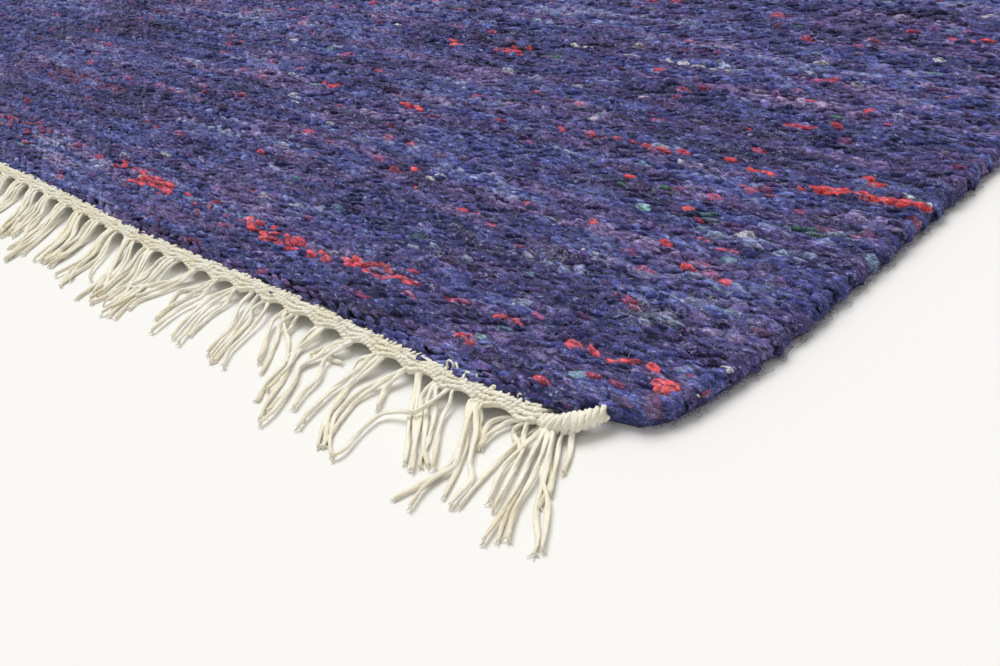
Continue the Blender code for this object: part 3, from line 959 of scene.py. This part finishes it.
def makeTurnShape(seed):
    # a bent piece of yarn, spun from a six-sided section, unit radius, that opens towards -X
    dice = random.Random(seed)
    shape = bmesh.new()
    section = bmesh.ops.create_circle(shape, cap_ends=True, segments=6, radius=turns["tube"])["verts"]
    bmesh.ops.rotate(shape, verts=section, matrix=Matrix.Rotation(math.radians(90), 3, "X"))
    bmesh.ops.translate(shape, verts=section, vec=(1.0, 0.0, 0.0))
    bmesh.ops.rotate(shape, verts=section, matrix=Matrix.Rotation(math.radians(-turns["arc"] / 2), 3, "Z"))
    faces = shape.faces[:]
    bmesh.ops.spin(shape, geom=faces + shape.edges[:] + shape.verts[:], cent=(0, 0, 0), axis=(0, 0, 1),
                   angle=math.radians(turns["arc"]), steps=6, use_merge=False, use_duplicate=False)
    # the arc stands upright, in the plane of X and Z
    bmesh.ops.rotate(shape, verts=shape.verts[:], matrix=Matrix.Rotation(math.radians(90), 3, "X"))
    for vertex in shape.verts:
        vertex.co *= 1 + dice.uniform(-turns["rough"], turns["rough"])
        vertex.co.y += dice.uniform(-0.06, 0.06)
    bmesh.ops.recalc_face_normals(shape, faces=shape.faces[:])
    return finishShape(shape, f"turnShape{seed}")


def buildTurns():
    dice = random.Random(23)
    placed = placeOddYarns()
    spots = []
    for side in (1, -1):
        along = -fieldEnd + 0.0113
        while along < fieldEnd - 0.0113:
            wide = dice.uniform(*turns["pitch"])
            edge = selvedgePlace(along, side)
            slope = selvedgeSlope(along, side)
            facing = math.atan2(-slope, 1.0) if side > 0 else math.pi - math.atan2(-slope, 1.0)
            reach = dice.uniform(0.0028, 0.0044)
            inward = reach * 1.15 + dice.gauss(0, 0.0006)
            spots.append({
                "place": (side * edge - inward * math.cos(facing), along - inward * math.sin(facing),
                          turns["centreHeight"] + dice.gauss(0, 0.0003) + cornerLift(along)),
                "turn": (tilt(dice, 14), 0.0, facing + tilt(dice, 22)),
                "size": (reach, wide * 1.7, turns["halfHeight"] * dice.uniform(0.86, 1.14)),
                "kind": dice.randrange(5),
                "heart": (side * edge, along, 0.0),
                "tint": tintAt(side * (edge - 0.004), along, placed, dice),
            })
            along += wide * 0.80 / math.hypot(1.0, slope)
    mesh = scatterCopies("selvedgeTurns", [makeTurnShape(seed) for seed in range(31, 36)], spots)
    keepOnFloor(mesh)
    mesh.shade_smooth()
    print("kilim: selvedge turns,", len(spots), "turns,", len(mesh.polygons), "faces")
    return placeObject("selvedgeTurns", mesh, floatMaterial)


selvedgeTurns = buildTurns()

# loose hairs of the fuzzy yarn, and shorter fuzz near the photograph's corner
hairs = {
    "count": 800,
    "edgeCount": 330,
    "radius": 0.00009,
    "step": 0.0011,
    "kinds": 8,
}
fuzz = {
    "count": 4500,
    "edgeCount": 1250,
    "radius": 0.00010,
    "step": 0.0010,
    "kinds": 8,
    "reach": (0.26, -0.68),
}
# colours of the fibres, each with its share
hairTones = (
    ((152, 156, 192), 0.40), ((96, 98, 150), 0.26), ((178, 136, 164), 0.10), ((44, 44, 80), 0.14),
    ((206, 206, 216), 0.10),
)
tuftTones = ((214, 216, 222), (176, 180, 204), (196, 186, 200))
darkHair, paleHair = (44, 42, 74), (120, 120, 160)
# read-off tufts of pale fibres: pixel, spread in millimetres, count
tufts = (
    (555, 261, 3.2, 40), (546, 254, 3.0, 14), (652, 310, 5.0, 44), (636, 320, 5.0, 30), (672, 322, 4.0, 16),
    (770, 287, 1.8, 10), (700, 304, 4.0, 14), (590, 276, 5.0, 18), (462, 232, 4.0, 14), (742, 330, 3.0, 12),
    (505, 246, 6.0, 18), (606, 262, 6.0, 18), (840, 250, 6.0, 16), (430, 258, 5.0, 12), (693, 345, 4.0, 12),
)
edgeTones = (
    ((48, 50, 96), 0.40), ((70, 74, 128), 0.30), ((40, 36, 66), 0.20), ((130, 134, 176), 0.10),
)
hairProfile = makeProfile("hairProfile", (1.0, 1.0, 1.0))


def makeHairShape(seed, sizes, steps, curl):
    dice = random.Random(seed)
    heading, bend = 0.0, dice.uniform(-0.5, 0.5)
    place = Vector((0.0, 0.0, 0.0))
    points = [place.copy()]
    for step in range(steps):
        bend += dice.gauss(0, curl)
        heading += max(min(bend, 0.9), -0.9)
        rise = 0.5 * math.sin(math.pi * (step + 0.5) / steps) - (0.28 if step > steps / 2 else 0.0)
        place += Vector((math.cos(heading), math.sin(heading), rise)) * sizes["step"]
        points.append(place.copy())
    run = {"points": points, "radius": [sizes["radius"]] * len(points), "tilt": [0.0] * len(points)}
    return cordMesh(f"hairShape{seed}", [run], hairProfile)


def pickTone(dice, tones):
    chance = dice.random()
    for tone, share in tones:
        chance -= share
        if chance < 0:
            return tone
    return tones[0][0]


def buildHairs():
    dice = random.Random(37)
    spots = []
    while len(spots) < hairs["count"]:
        x, y = dice.uniform(-0.37, halfWidth), dice.uniform(-fieldEnd, -0.46)
        if outsideRegion(x, y) > 0 or abs(x) > selvedgePlace(y, 1) - 0.001:
            continue
        clump = noise.noise(Vector((x * 38, y * 75, 0.3)))
        if dice.random() > 0.55 + clump * 1.3:
            continue
        size = dice.uniform(0.45, 1.2)
        spots.append({
            "place": (x, y, clothTop(x, y) - 0.0002 - edgeDrop(x, y)),
            "turn": (tilt(dice, 16), tilt(dice, 16, -6), dice.uniform(0, 6.28)),
            "size": (size, size, size * dice.uniform(0.6, 1.5)),
            "kind": dice.randrange(hairs["kinds"]),
            "heart": (x, y, 0.0),
            "tint": colour(*pickTone(dice, hairTones)),
        })
    for pixelX, pixelY, spread, count in tufts:
        middle = spotAt(pixelX, pixelY, rug["thickness"])
        for _ in range(count):
            x = middle.x + dice.gauss(0, spread / 1000)
            y = middle.y + dice.gauss(0, spread / 1600)
            size = dice.uniform(0.5, 1.0)
            spots.append({
                "place": (x, y, clothTop(x, y) - edgeDrop(x, y)),
                "turn": (tilt(dice, 24), tilt(dice, 20, -10), dice.uniform(0, 6.28)),
                "size": (size, size, size * dice.uniform(0.8, 1.6)),
                "kind": dice.randrange(hairs["kinds"]),
                "heart": (x, y, 0.0),
                "tint": colour(*dice.choice(tuftTones)),
            })
    for _ in range(hairs["edgeCount"]):
        side = 1 if dice.random() < 0.72 else -1
        along = dice.uniform(-fieldEnd + 0.02, -0.45 if side > 0 else fieldEnd)
        edge = selvedgePlace(along, side)
        low = dice.random() < 0.5
        size = dice.uniform(0.5, 1.2)
        facing = 0.0 if side > 0 else math.pi
        spots.append({
            "place": (side * (edge - 0.0006), along, 0.0004 if low else dice.uniform(0.002, 0.0065)),
            "turn": (0.0 if low else tilt(dice, 25), 0.0 if low else math.radians(dice.uniform(0, 35)),
                     facing + tilt(dice, 55)),
            "size": (size, size, size * (0.5 if low else 1.0)),
            "kind": dice.randrange(hairs["kinds"]),
            "heart": (side * edge, along, 0.0),
            "tint": colour(*(darkHair if dice.random() < 0.75 else paleHair)),
        })
    shapes = [makeHairShape(seed, hairs, 7, 0.30) for seed in range(50, 50 + hairs["kinds"])]
    mesh = scatterCopies("yarnHairs", shapes, spots)
    keepOnFloor(mesh)
    print("kilim: yarn hairs,", len(spots), "hairs,", len(mesh.polygons), "faces")
    return placeObject("yarnHairs", mesh, floatMaterial)


def buildFuzz():
    # short fibres that stand off the floats, mostly along the weft, thickest by the corner
    dice = random.Random(43)
    spots = []
    while len(spots) < fuzz["count"]:
        x, y = dice.uniform(fuzz["reach"][0], halfWidth), dice.uniform(-fieldEnd, fuzz["reach"][1])
        inside = selvedgePlace(y, 1) - abs(x)
        if inside < 0.0005 or outsideRegion(x, y) > -0.01:
            continue
        clump = noise.noise(Vector((x * 30, y * 90, 6.3)))
        if dice.random() > 0.5 + clump + 0.4 * x:
            continue
        size = dice.uniform(0.5, 1.15)
        heading = (0.0 if dice.random() < 0.5 else math.pi) + dice.gauss(0, 0.75)
        spots.append({
            "place": (x, y, clothTop(x, y) - 0.0001 - edgeDrop(x, y) + dice.gauss(0, 0.0002)),
            "turn": (tilt(dice, 14), tilt(dice, 12, 3), heading),
            "size": (size, size, size * dice.uniform(0.5, 1.3)),
            "kind": dice.randrange(fuzz["kinds"]),
            "heart": (x, y, 0.0),
            "tint": colour(*pickTone(dice, hairTones)),
        })
    for _ in range(fuzz["edgeCount"]):
        along = -fieldEnd + 0.0113 + 0.36 * dice.random() ** 1.5
        facing = math.atan2(-selvedgeSlope(along, 1), 1.0)
        size = dice.uniform(0.45, 1.0)
        rise = dice.uniform(0.0010, 0.0082)
        x = selvedgePlace(along, 1) - 0.0012 * math.cos(facing)
        spots.append({
            "place": (x, along - 0.0012 * math.sin(facing), rise),
            "turn": (tilt(dice, 50), tilt(dice, 25), facing + tilt(dice, 60)),
            "size": (size, size, size),
            "kind": dice.randrange(fuzz["kinds"]),
            "heart": (0.6, along, 0.0),
            "tint": colour(*pickTone(dice, edgeTones)),
        })
    shapes = [makeHairShape(seed, fuzz, 4, 0.45) for seed in range(90, 90 + fuzz["kinds"])]
    mesh = scatterCopies("yarnFuzz", shapes, spots)
    keepOnFloor(mesh)
    print("kilim: yarn fuzz,", len(spots), "fibres,", len(mesh.polygons), "faces")
    return placeObject("yarnFuzz", mesh, floatMaterial)


yarnHairs = buildHairs()
yarnFuzz = buildFuzz()

# the cotton end bands: y and height of both edges, and rows of slanted stitches between them
band = {
    "outer": (-0.0032, 0.0046),
    "inner": (0.0026, 0.0084),
    "cornerBend": 0.0026,
    "tuck": 0.0040,
    "slab": 0.0010,
    "stitchPitch": 0.00215,
    "rows": 3,
    "stitchSize": (0.00170, 0.00084, 0.00080),
    "slant": 38.0,
    "hollowRise": 0.0018,
    "hollowBack": 0.0022,
}
fringe = {
    "tassels": 56,
    "pitch": 0.01975,
    "shift": 0.0059,
    "reach": 0.048,
    "perTassel": 6,
    "rootSpread": 0.0017,
    "radius": 0.00104,
    "lean": 21.0,
    "leanWaves": ((30.0, 7.0), (12.0, 2.5)),
    "cornerLoss": 0.45,
}


def hollowAt(across):
    # 1 halfway between two tassels, 0 where the warps are gathered
    offset = (across - fringe["shift"]) / fringe["pitch"] + 0.5 * (fringe["tassels"] + 1)
    return (0.5 - 0.5 * math.cos(2 * math.pi * offset)) ** 0.7


def bandPoint(across, share, lift=0.0):
    # a place on the band of the front end: share 0 at its outer edge, 1 at the field
    (outY, outZ), (inY, inZ) = band["outer"], band["inner"]
    hollow = hollowAt(across) * max(1 - share, 0)
    bend = band["cornerBend"] * max((abs(across) - 0.50) / (bandHalf - 0.50), 0) ** 2
    y = -halfLength + endStray(across) + bend + outY + (inY - outY) * share + band["hollowBack"] * hollow
    z = outZ + (inZ - outZ) * min(share, 1) - band["tuck"] * max(share - 1, 0)
    return Vector((across, y, z + band["hollowRise"] * hollow + lift))


def buildBand(name, nodeName, turned, seed):
    dice = random.Random(seed)
    # the slab: a grid on the slope, then given its thickness downwards
    shape = bmesh.new()
    bmesh.ops.create_grid(shape, x_segments=448, y_segments=2, size=1.0)
    for vertex in shape.verts:
        vertex.co = bandPoint(vertex.co.x * bandHalf, vertex.co.y + 1, -0.0004)
    thick = bmesh.ops.extrude_face_region(shape, geom=shape.faces[:], use_keep_orig=True)["geom"]
    for vertex in thick:
        if isinstance(vertex, bmesh.types.BMVert):
            vertex.co.z -= band["slab"]
    bmesh.ops.recalc_face_normals(shape, faces=shape.faces[:])
    # the slab carries the core's painted shade, seen in the hollows under the band
    slab = placeObject(name, finishShape(shape, name), coreShadeMaterial)

    slope = math.atan2(band["inner"][1] - band["outer"][1], band["inner"][0] - band["outer"][0])
    spots = []
    count = int(2 * bandHalf / band["stitchPitch"])
    for row in range(band["rows"]):
        share = (row + 0.5) / band["rows"]
        for index in range(count):
            across = -bandHalf + (index + 0.5 + 0.5 * (row % 2)) * band["stitchPitch"]
            long, wide, high = band["stitchSize"]
            grow = dice.uniform(0.85, 1.18)
            spots.append({
                "place": bandPoint(across, share + dice.gauss(0, 0.02), 0.0001 + dice.gauss(0, 0.00012)),
                "turn": (slope, 0.0, tilt(dice, 9, band["slant"])),
                "size": (long * grow, wide * grow, high * grow),
                "kind": dice.randrange(3),
                "heart": (across, 0.0, 0.0),
                "tint": (0.0, 0.0, 0.0, 0.0),
            })
    # small loops of the warps stand up along the field
    for index in range(count):
        across = -bandHalf + (index + dice.random()) * band["stitchPitch"]
        if dice.random() < 0.3:
            continue
        spots.append({
            "place": bandPoint(across, 1.0 + dice.gauss(0.04, 0.08), 0.0004),
            "turn": (dice.uniform(-0.9, 1.2), 0.0, tilt(dice, 45, 60)),
            "size": (0.0014 * dice.uniform(0.6, 1.4), 0.0006, 0.0008),
            "kind": dice.randrange(3),
            "heart": (across, 0.0, 0.0),
            "tint": (0.0, 0.0, 0.0, 0.0),
        })
    around, along = (5, 3) if turned else (5, 4)
    shapes = [makeFloatShape(kind, around, along, 0.08) for kind in range(70, 73)]
    mesh = scatterCopies(name + "Stitches", shapes, spots)
    mesh.shade_smooth()
    stitches = placeObject(name + "Stitches", mesh, bandMaterial)
    item = joinPieces([slab, stitches], name)
    if turned:
        item.data.transform(Matrix.Rotation(math.pi, 4, "Z"))
    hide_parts(nodeName)
    print("kilim:", name, len(item.data.polygons), "faces")
    return item


frontBand = buildBand("frontBand", "band_front", False, 61)
backBand = buildBand("backBand", "band_back", True, 62)

# sections of the fringe's cords: two plies with a groove, and a plain thread for the frayed ends
stringProfile = makeProfile("stringProfile", (1.00, 0.90, 0.50, 0.90, 1.00, 0.90, 0.50, 0.90))
frayProfile = makeProfile("frayProfile", (1.0, 1.0, 1.0))


def stringRun(places, radius, dice, twist=None):
    twist = dice.uniform(0.30, 0.55) if twist is None else twist
    start = dice.uniform(0, 3.1)
    count = len(places)
    taper = [radius * (1 - 0.22 * max(index / (count - 1) - 0.8, 0) / 0.2) for index in range(count)]
    return {"points": places, "radius": taper, "tilt": [start + twist * index for index in range(count)]}


def eased(share):
    return share ** 2 * (3 - 2 * share)


def looseString(root, lean, reach, radius, rest, dice, count=14):
    # out from the band in a low arch, down to the floor, then level, with a slow bend
    heading = math.radians(lean)
    bend = tilt(dice, 16)
    wobble, phase = dice.uniform(0.0003, 0.0012), dice.uniform(0, 6.28)
    place = Vector(root)
    landing = dice.uniform(0.30, 0.46)
    points = []
    step = reach / (count - 1)
    for index in range(count):
        share = index / (count - 1)
        turn = heading + bend * (share - 0.3)
        if index:
            place += Vector((math.sin(turn), -math.cos(turn), 0.0)) * step
        fall = min(share / landing, 1.0)
        height = rest + (root[2] - rest) * (1 - eased(fall)) + 0.0011 * math.sin(math.pi * fall)
        side = wobble * math.sin(phase + 9 * share) * share
        points.append(Vector((place.x + side * math.cos(turn), place.y + side * math.sin(turn), height)))
    return points


def frayRuns(points, radius, dice):
    tip, before = points[-1], points[-3]
    ahead = (tip - before).normalized()
    runs = []
    for _ in range(3):
        turn = Matrix.Rotation(tilt(dice, 17), 3, "Z") @ ahead
        places = [tip - ahead * 0.0012]
        for step in range(1, 4):
            turn = Matrix.Rotation(tilt(dice, 20), 3, "Z") @ turn
            places.append(places[-1] + turn * 0.0010 * dice.uniform(0.6, 1.2))
            places[-1].z = max(places[-1].z * (1 - step / 4), 0.0005)
        runs.append({"points": places, "radius": [radius * 0.46, radius * 0.38, radius * 0.28, radius * 0.12],
                     "tilt": [0.0] * 4})
    return runs


def tasselLean(index, shift):
    toward = max(2 * index / (fringe["tassels"] - 1) - 1, 0.0)
    lean = fringe["lean"] + wavesAt(index, fringe["leanWaves"], shift)
    return lean * (1 - fringe["cornerLoss"] * toward ** 5)


# strings read off near the photograph's corner: pixels from root to tip
readStrings = (
    ((566, 415), (550, 421), (530, 433), (510, 450), (490, 470), (474, 488), (460, 506)),
    ((548, 424), (530, 440), (510, 460), (498, 476), (490, 500)),
    ((556, 420), (538, 440), (528, 464), (518, 492), (504, 520), (498, 540)),
    ((562, 421), (549, 436), (544, 460), (542, 480), (548, 500), (546, 524), (542, 548)),
    ((558, 424), (554, 436), (550, 460), (550, 484), (538, 508)),
    ((566, 422), (560, 440), (556, 464), (550, 492)),
    ((569, 424), (571, 444), (568, 460), (564, 472)),
    ((548, 430), (536, 470), (522, 496), (512, 518), (508, 538)),
    ((552, 428), (546, 470), (538, 500), (536, 520), (538, 540), (534, 554)),
    ((545, 426), (528, 464), (510, 500), (494, 524), (483, 540)),
    ((522, 419), (510, 417), (496, 420), (486, 428), (478, 448)),
    ((524, 420), (512, 421), (500, 427), (488, 436), (480, 446)),
    ((526, 421), (516, 428), (514, 436), (520, 448), (516, 470)),
    ((528, 422), (524, 434), (522, 452), (508, 480), (494, 508)),
    ((468, 404), (466, 430), (466, 448), (460, 464), (450, 484), (444, 496)),
    ((476, 406), (476, 432), (472, 448), (470, 464), (472, 478), (460, 492), (450, 504)),
    ((480, 407), (481, 420), (479, 434), (476, 446)),
    ((471, 405), (462, 440), (456, 464), (440, 474), (424, 486), (410, 506)),
    ((474, 405), (458, 450), (448, 466), (430, 480), (410, 490), (394, 498)),
    ((430, 386), (422, 396), (420, 416), (416, 440), (412, 468)),
    ((436, 388), (435, 410), (430, 436), (422, 456), (420, 466)),
    ((452, 392), (450, 404), (443, 416), (438, 436), (433, 466)),
    ((433, 387), (428, 398), (426, 420), (424, 446), (428, 464)),
    ((418, 411), (402, 411), (382, 414), (368, 424), (354, 438), (344, 450), (332, 456)),
    ((417, 374), (416, 390), (410, 414), (408, 440), (405, 462)),
    ((420, 376), (418, 394), (415, 422), (414, 450)),
    ((406, 369), (386, 378), (362, 390), (344, 406), (334, 418), (330, 442), (332, 454)),
    ((402, 372), (386, 388), (378, 406)),
    ((404, 370), (382, 382), (358, 400), (342, 418), (330, 436), (322, 446)),
    ((372, 356), (358, 360), (348, 378), (330, 392), (314, 406), (298, 426)),
    ((380, 360), (370, 370), (352, 384), (342, 398), (326, 418), (318, 446)),
    ((370, 358), (354, 372), (334, 388), (324, 398), (304, 418)),
    ((374, 360), (360, 374), (342, 394), (330, 414), (324, 446)),
    ((352, 341), (342, 340), (326, 348), (310, 354)),
    ((350, 344), (334, 348), (320, 356), (304, 364), (296, 374), (290, 388), (278, 400), (268, 410)),
    ((346, 342), (330, 346), (316, 358), (300, 366), (294, 382), (274, 410), (260, 422)),
    ((344, 346), (334, 352), (330, 358), (342, 363)),
    ((344, 346), (326, 358), (318, 378), (304, 392), (294, 406)),
    ((323, 329), (314, 338), (300, 350), (290, 364), (284, 378), (270, 398), (260, 418)),
    ((318, 327), (310, 332), (298, 346), (292, 358), (286, 370), (268, 388)),
    ((321, 328), (306, 342), (292, 354), (280, 368), (266, 384), (258, 400)),
    ((283, 313), (273, 320), (268, 334), (263, 350), (258, 360)),
    ((284, 314), (284, 324), (288, 340), (288, 356), (287, 362)),
    ((298, 315), (292, 326), (288, 332)),
    ((292, 315), (280, 326), (276, 342), (270, 356), (262, 372)),
    ((270, 300), (260, 318), (245, 335), (230, 350), (222, 365)),
    ((265, 300), (252, 310), (250, 320), (232, 340), (215, 360)),
    ((252, 293), (240, 305), (232, 325), (218, 340), (208, 352)),
    ((258, 296), (246, 312), (236, 330), (222, 346), (210, 362)),
    ((235, 289), (220, 298), (203, 312), (188, 330), (178, 342)),
    ((235, 290), (225, 305), (208, 318), (190, 335)),
    ((232, 289), (214, 296), (198, 308), (184, 322), (172, 336)),
    ((212, 281), (195, 288), (178, 292), (170, 305)),
    ((215, 282), (200, 298), (178, 310), (152, 330)),
    ((213, 281), (196, 292), (174, 304), (156, 318)),
    ((192, 271), (180, 278), (152, 285), (125, 288)),
    ((194, 272), (180, 282), (162, 292), (140, 300), (130, 308)),
    ((193, 272), (178, 280), (158, 288), (136, 296)),
)


def smoothPath(points, count):
    # even places on a smooth line through a few points
    spline = [points[0]] + list(points) + [points[-1]]
    lengths = [0.0]
    for first, second in zip(points, points[1:]):
        lengths.append(lengths[-1] + (second - first).length)
    path = []
    for index in range(count):
        target = lengths[-1] * index / (count - 1)
        piece = min(max(bisect_right(lengths, target) - 1, 0), len(points) - 2)
        t = (target - lengths[piece]) / max(lengths[piece + 1] - lengths[piece], 1e-9)
        a, b, c, d = spline[piece:piece + 4]
        path.append(0.5 * (2 * b + (c - a) * t + (2 * a - 5 * b + 4 * c - d) * t * t
                           + (3 * b - a - 3 * c + d) * t ** 3))
    return path


def readRun(pixels, rest, dice):
    share = [index / (len(pixels) - 1) for index in range(len(pixels))]
    points = []
    for (pixelX, pixelY), part in zip(pixels, share):
        fall = min(part / 0.42, 1.0)
        height = rest + (band["outer"][1] - rest) * (1 - eased(fall))
        points.append(spotAt(pixelX, pixelY, height))
    # the cord comes out from under the band
    root = bandPoint(min(points[0].x, bandHalf), 0.22, -0.0012)
    if (root - points[0]).length > 0.0012:
        points.insert(0, root)
    return smoothPath(points, 18)


# loose loops of cotton over the band's inner edge: pixel of the foot and width in millimetres
warpLoops = (
    (450, 369, 3.4), (456, 370, 2.6), (469, 377, 2.4), (476, 379, 1.8), (520, 398, 1.6), (340, 322, 1.8),
    (372, 336, 1.6), (402, 350, 1.8), (300, 299, 1.8), (494, 389, 1.6), (424, 359, 1.6),
)


def loopRun(pixelX, pixelY, wide, dice):
    foot = spotAt(pixelX, pixelY, 0.0080)
    half, lean, turn = wide / 2000, dice.uniform(-0.3, 0.6), dice.gauss(0, 0.5)
    points = []
    for step in range(11):
        angle = math.radians(-62 + 30 * step)
        grow = half * dice.uniform(0.86, 1.14)
        out, rise = grow * math.cos(angle), grow * (0.8 + 0.9 * math.sin(angle))
        points.append(foot + Vector((out * math.cos(turn), out * math.sin(turn) + lean * rise, rise)))
    return {"points": points, "radius": [0.00050] * 11, "tilt": [0.0] * 11}


def buildStrings(name, seed, turned, shift, readFrom):
    dice = random.Random(seed)
    twisted, frays = [], []
    radius = fringe["radius"]
    for index in range(fringe["tassels"]):
        centre = (index - (fringe["tassels"] - 1) / 2) * fringe["pitch"] + fringe["shift"]
        centre += dice.gauss(0, 0.0008)
        if readFrom is not None and centre > readFrom:
            continue
        lean = tasselLean(index, shift) + dice.gauss(0, 6)
        count = fringe["perTassel"] + (1 if dice.random() < 0.25 else 0)
        bundle = dice.uniform(0.78, 1.0)
        for order in range(count):
            offset = order - (count - 1) / 2
            across = centre + offset * fringe["rootSpread"]
            root = (across, bandPoint(across, 0.22).y, 0.0040 + 0.0012 * (order % 2))
            spread = offset * dice.uniform(-1.5, 2.5) + dice.gauss(0, 3.5)
            if dice.random() < 0.08:
                spread += dice.gauss(0, 22)
            reach = fringe["reach"] * bundle * dice.uniform(0.84, 1.04)
            rest = radius * (0.95 + 0.9 * (order % 2))
            points = looseString(root, lean + spread, reach, radius, rest, dice, 10 if turned else 14)
            twisted.append(stringRun(points, radius * dice.uniform(0.85, 1.1), dice))
            if not turned and centre > 0.0 or dice.random() < 0.10:
                frays += frayRuns(points, radius, dice)
    if readFrom is not None:
        for order, pixels in enumerate(readStrings):
            points = readRun(pixels, radius * (1.0 + 0.9 * (order % 2)), dice)
            twisted.append(stringRun(points, radius * dice.uniform(0.92, 1.12), dice))
            frays += frayRuns(points, radius, dice)
        for pixelX, pixelY, wide in warpLoops:
            frays.append(loopRun(pixelX, pixelY, wide, dice))
    pieces = [placeObject(name, cordMesh(name, twisted, stringProfile), stringMaterial),
              placeObject(name + "Frays", cordMesh(name + "Frays", frays, frayProfile), stringMaterial)]
    item = joinPieces(pieces, name)
    keepOnFloor(item.data, 0.0)
    if turned:
        item.data.transform(Matrix.Rotation(math.pi, 4, "Z"))
    print("kilim:", name, len(twisted), "strings,", len(item.data.polygons), "faces")
    return item


frontFringe = buildStrings("frontFringe", 81, False, 0.4, 0.322)
backFringe = buildStrings("backFringe", 82, True, 2.1, None)

# the wrapped corner tails: the course holds x and y from the rug's corner, height and radius, and
# the bunch holds each strand's lean in degrees and its share of the fringe's reach
tail = {
    "course": (
        (-0.0447, 0.0038, 0.0045, 0.0038),
        (-0.0410, 0.0040, 0.0048, 0.0045),
        (-0.0374, 0.0051, 0.0050, 0.0046),
        (-0.0342, 0.0075, 0.0052, 0.0045),
        (-0.0312, 0.0110, 0.0056, 0.0041),
        (-0.0270, 0.0165, 0.0063, 0.0033),
    ),
    "girth": 0.88,
    "turns": 10.0,
    "cord": 0.00150,
    "bunch": ((9.0, 0.93), (13.0, 0.86), (16.0, 1.00), (20.0, 0.9), (24.0, 0.95), (32.0, 0.83)),
}


def buildTail(name, nodeName, mirrored, turned, bunch):
    dice = random.Random(len(name) * 7 + mirrored + 2 * turned)
    corner = Vector((halfWidth, -halfLength, 0.0))
    course = [Vector(row[:3]) + corner for row in tail["course"]]
    radii = [row[3] * tail["girth"] for row in tail["course"]]
    steps = 96
    axis = smoothPath(course, steps + 1)
    wrap, wrapRadius = [], []
    for index, centre in enumerate(axis):
        share = index / steps
        place = share * (len(radii) - 1)
        low = min(int(place), len(radii) - 2)
        radius = radii[low] + (radii[low + 1] - radii[low]) * (place - low)
        ahead = (axis[min(index + 1, steps)] - axis[max(index - 1, 0)]).normalized()
        outward = Vector((ahead.y, -ahead.x, 0.0)).normalized()
        upward = outward.cross(ahead)
        angle = 2 * math.pi * tail["turns"] * share
        spoke = math.cos(angle) * outward + math.sin(angle) * upward
        wrap.append(centre + spoke * (radius - tail["cord"] * 0.9) + ahead * 0.0012 * math.sin(angle))
        # the turns begin low on the band, then thicken
        thick = 0.72 + 0.28 * min(share / 0.35, 1.0)
        wrapRadius.append(tail["cord"] * thick * (1 + 0.08 * math.sin(index)))
    runs = [{"points": wrap, "radius": wrapRadius, "tilt": [0.5 * index for index in range(len(wrap))]}]
    core = smoothPath(course, 12)
    runs.append({"points": core, "radius": [0.0026] + [0.0031] * 9 + [0.0027, 0.0018], "tilt": [0.0] * 12})
    for lean, share in bunch:
        start = course[1] + Vector((dice.uniform(-0.003, 0.006), -0.0030, 0.0))
        reach = start.y + halfLength + fringe["reach"] * share
        points = looseString((start.x, start.y, 0.0048), lean, reach, fringe["radius"],
                             fringe["radius"] * dice.uniform(1.0, 1.8), dice)
        runs.append(stringRun(points, fringe["radius"], dice))
    item = placeObject(name, cordMesh(name, runs, stringProfile), stringMaterial)
    keepOnFloor(item.data, 0.0)
    if mirrored:
        item.data.transform(Matrix.Scale(-1.0, 4, (1.0, 0.0, 0.0)))
        item.data.flip_normals()
    if turned:
        item.data.transform(Matrix.Rotation(math.pi, 4, "Z"))
    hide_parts(nodeName)
    return item


cornerTails = [
    buildTail("tailFrontRight", "tail_front_right", False, False, ()),
    buildTail("tailFrontLeft", "tail_front_left", True, False, tail["bunch"]),
    buildTail("tailBackLeft", "tail_back_left", False, True, tail["bunch"]),
    buildTail("tailBackRight", "tail_back_right", True, True, tail["bunch"]),
]
print("kilim: bands, fringes and corner tails are in place")

for spare in (hairProfile, stringProfile, frayProfile):
    bpy.data.objects.remove(spare, do_unlink=True)

# the whole rug is one body, and all its pieces lie with the cloth
yarnPieces = [*weftFloats, yarnScraps, selvedgeTurns, yarnHairs, yarnFuzz]
cottonPieces = [frontBand, backBand, frontFringe, backFringe, *cornerTails]
for piece in [wovenField, *yarnPieces]:
    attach(piece, "root")
for piece in cottonPieces:
    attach(piece, "root")
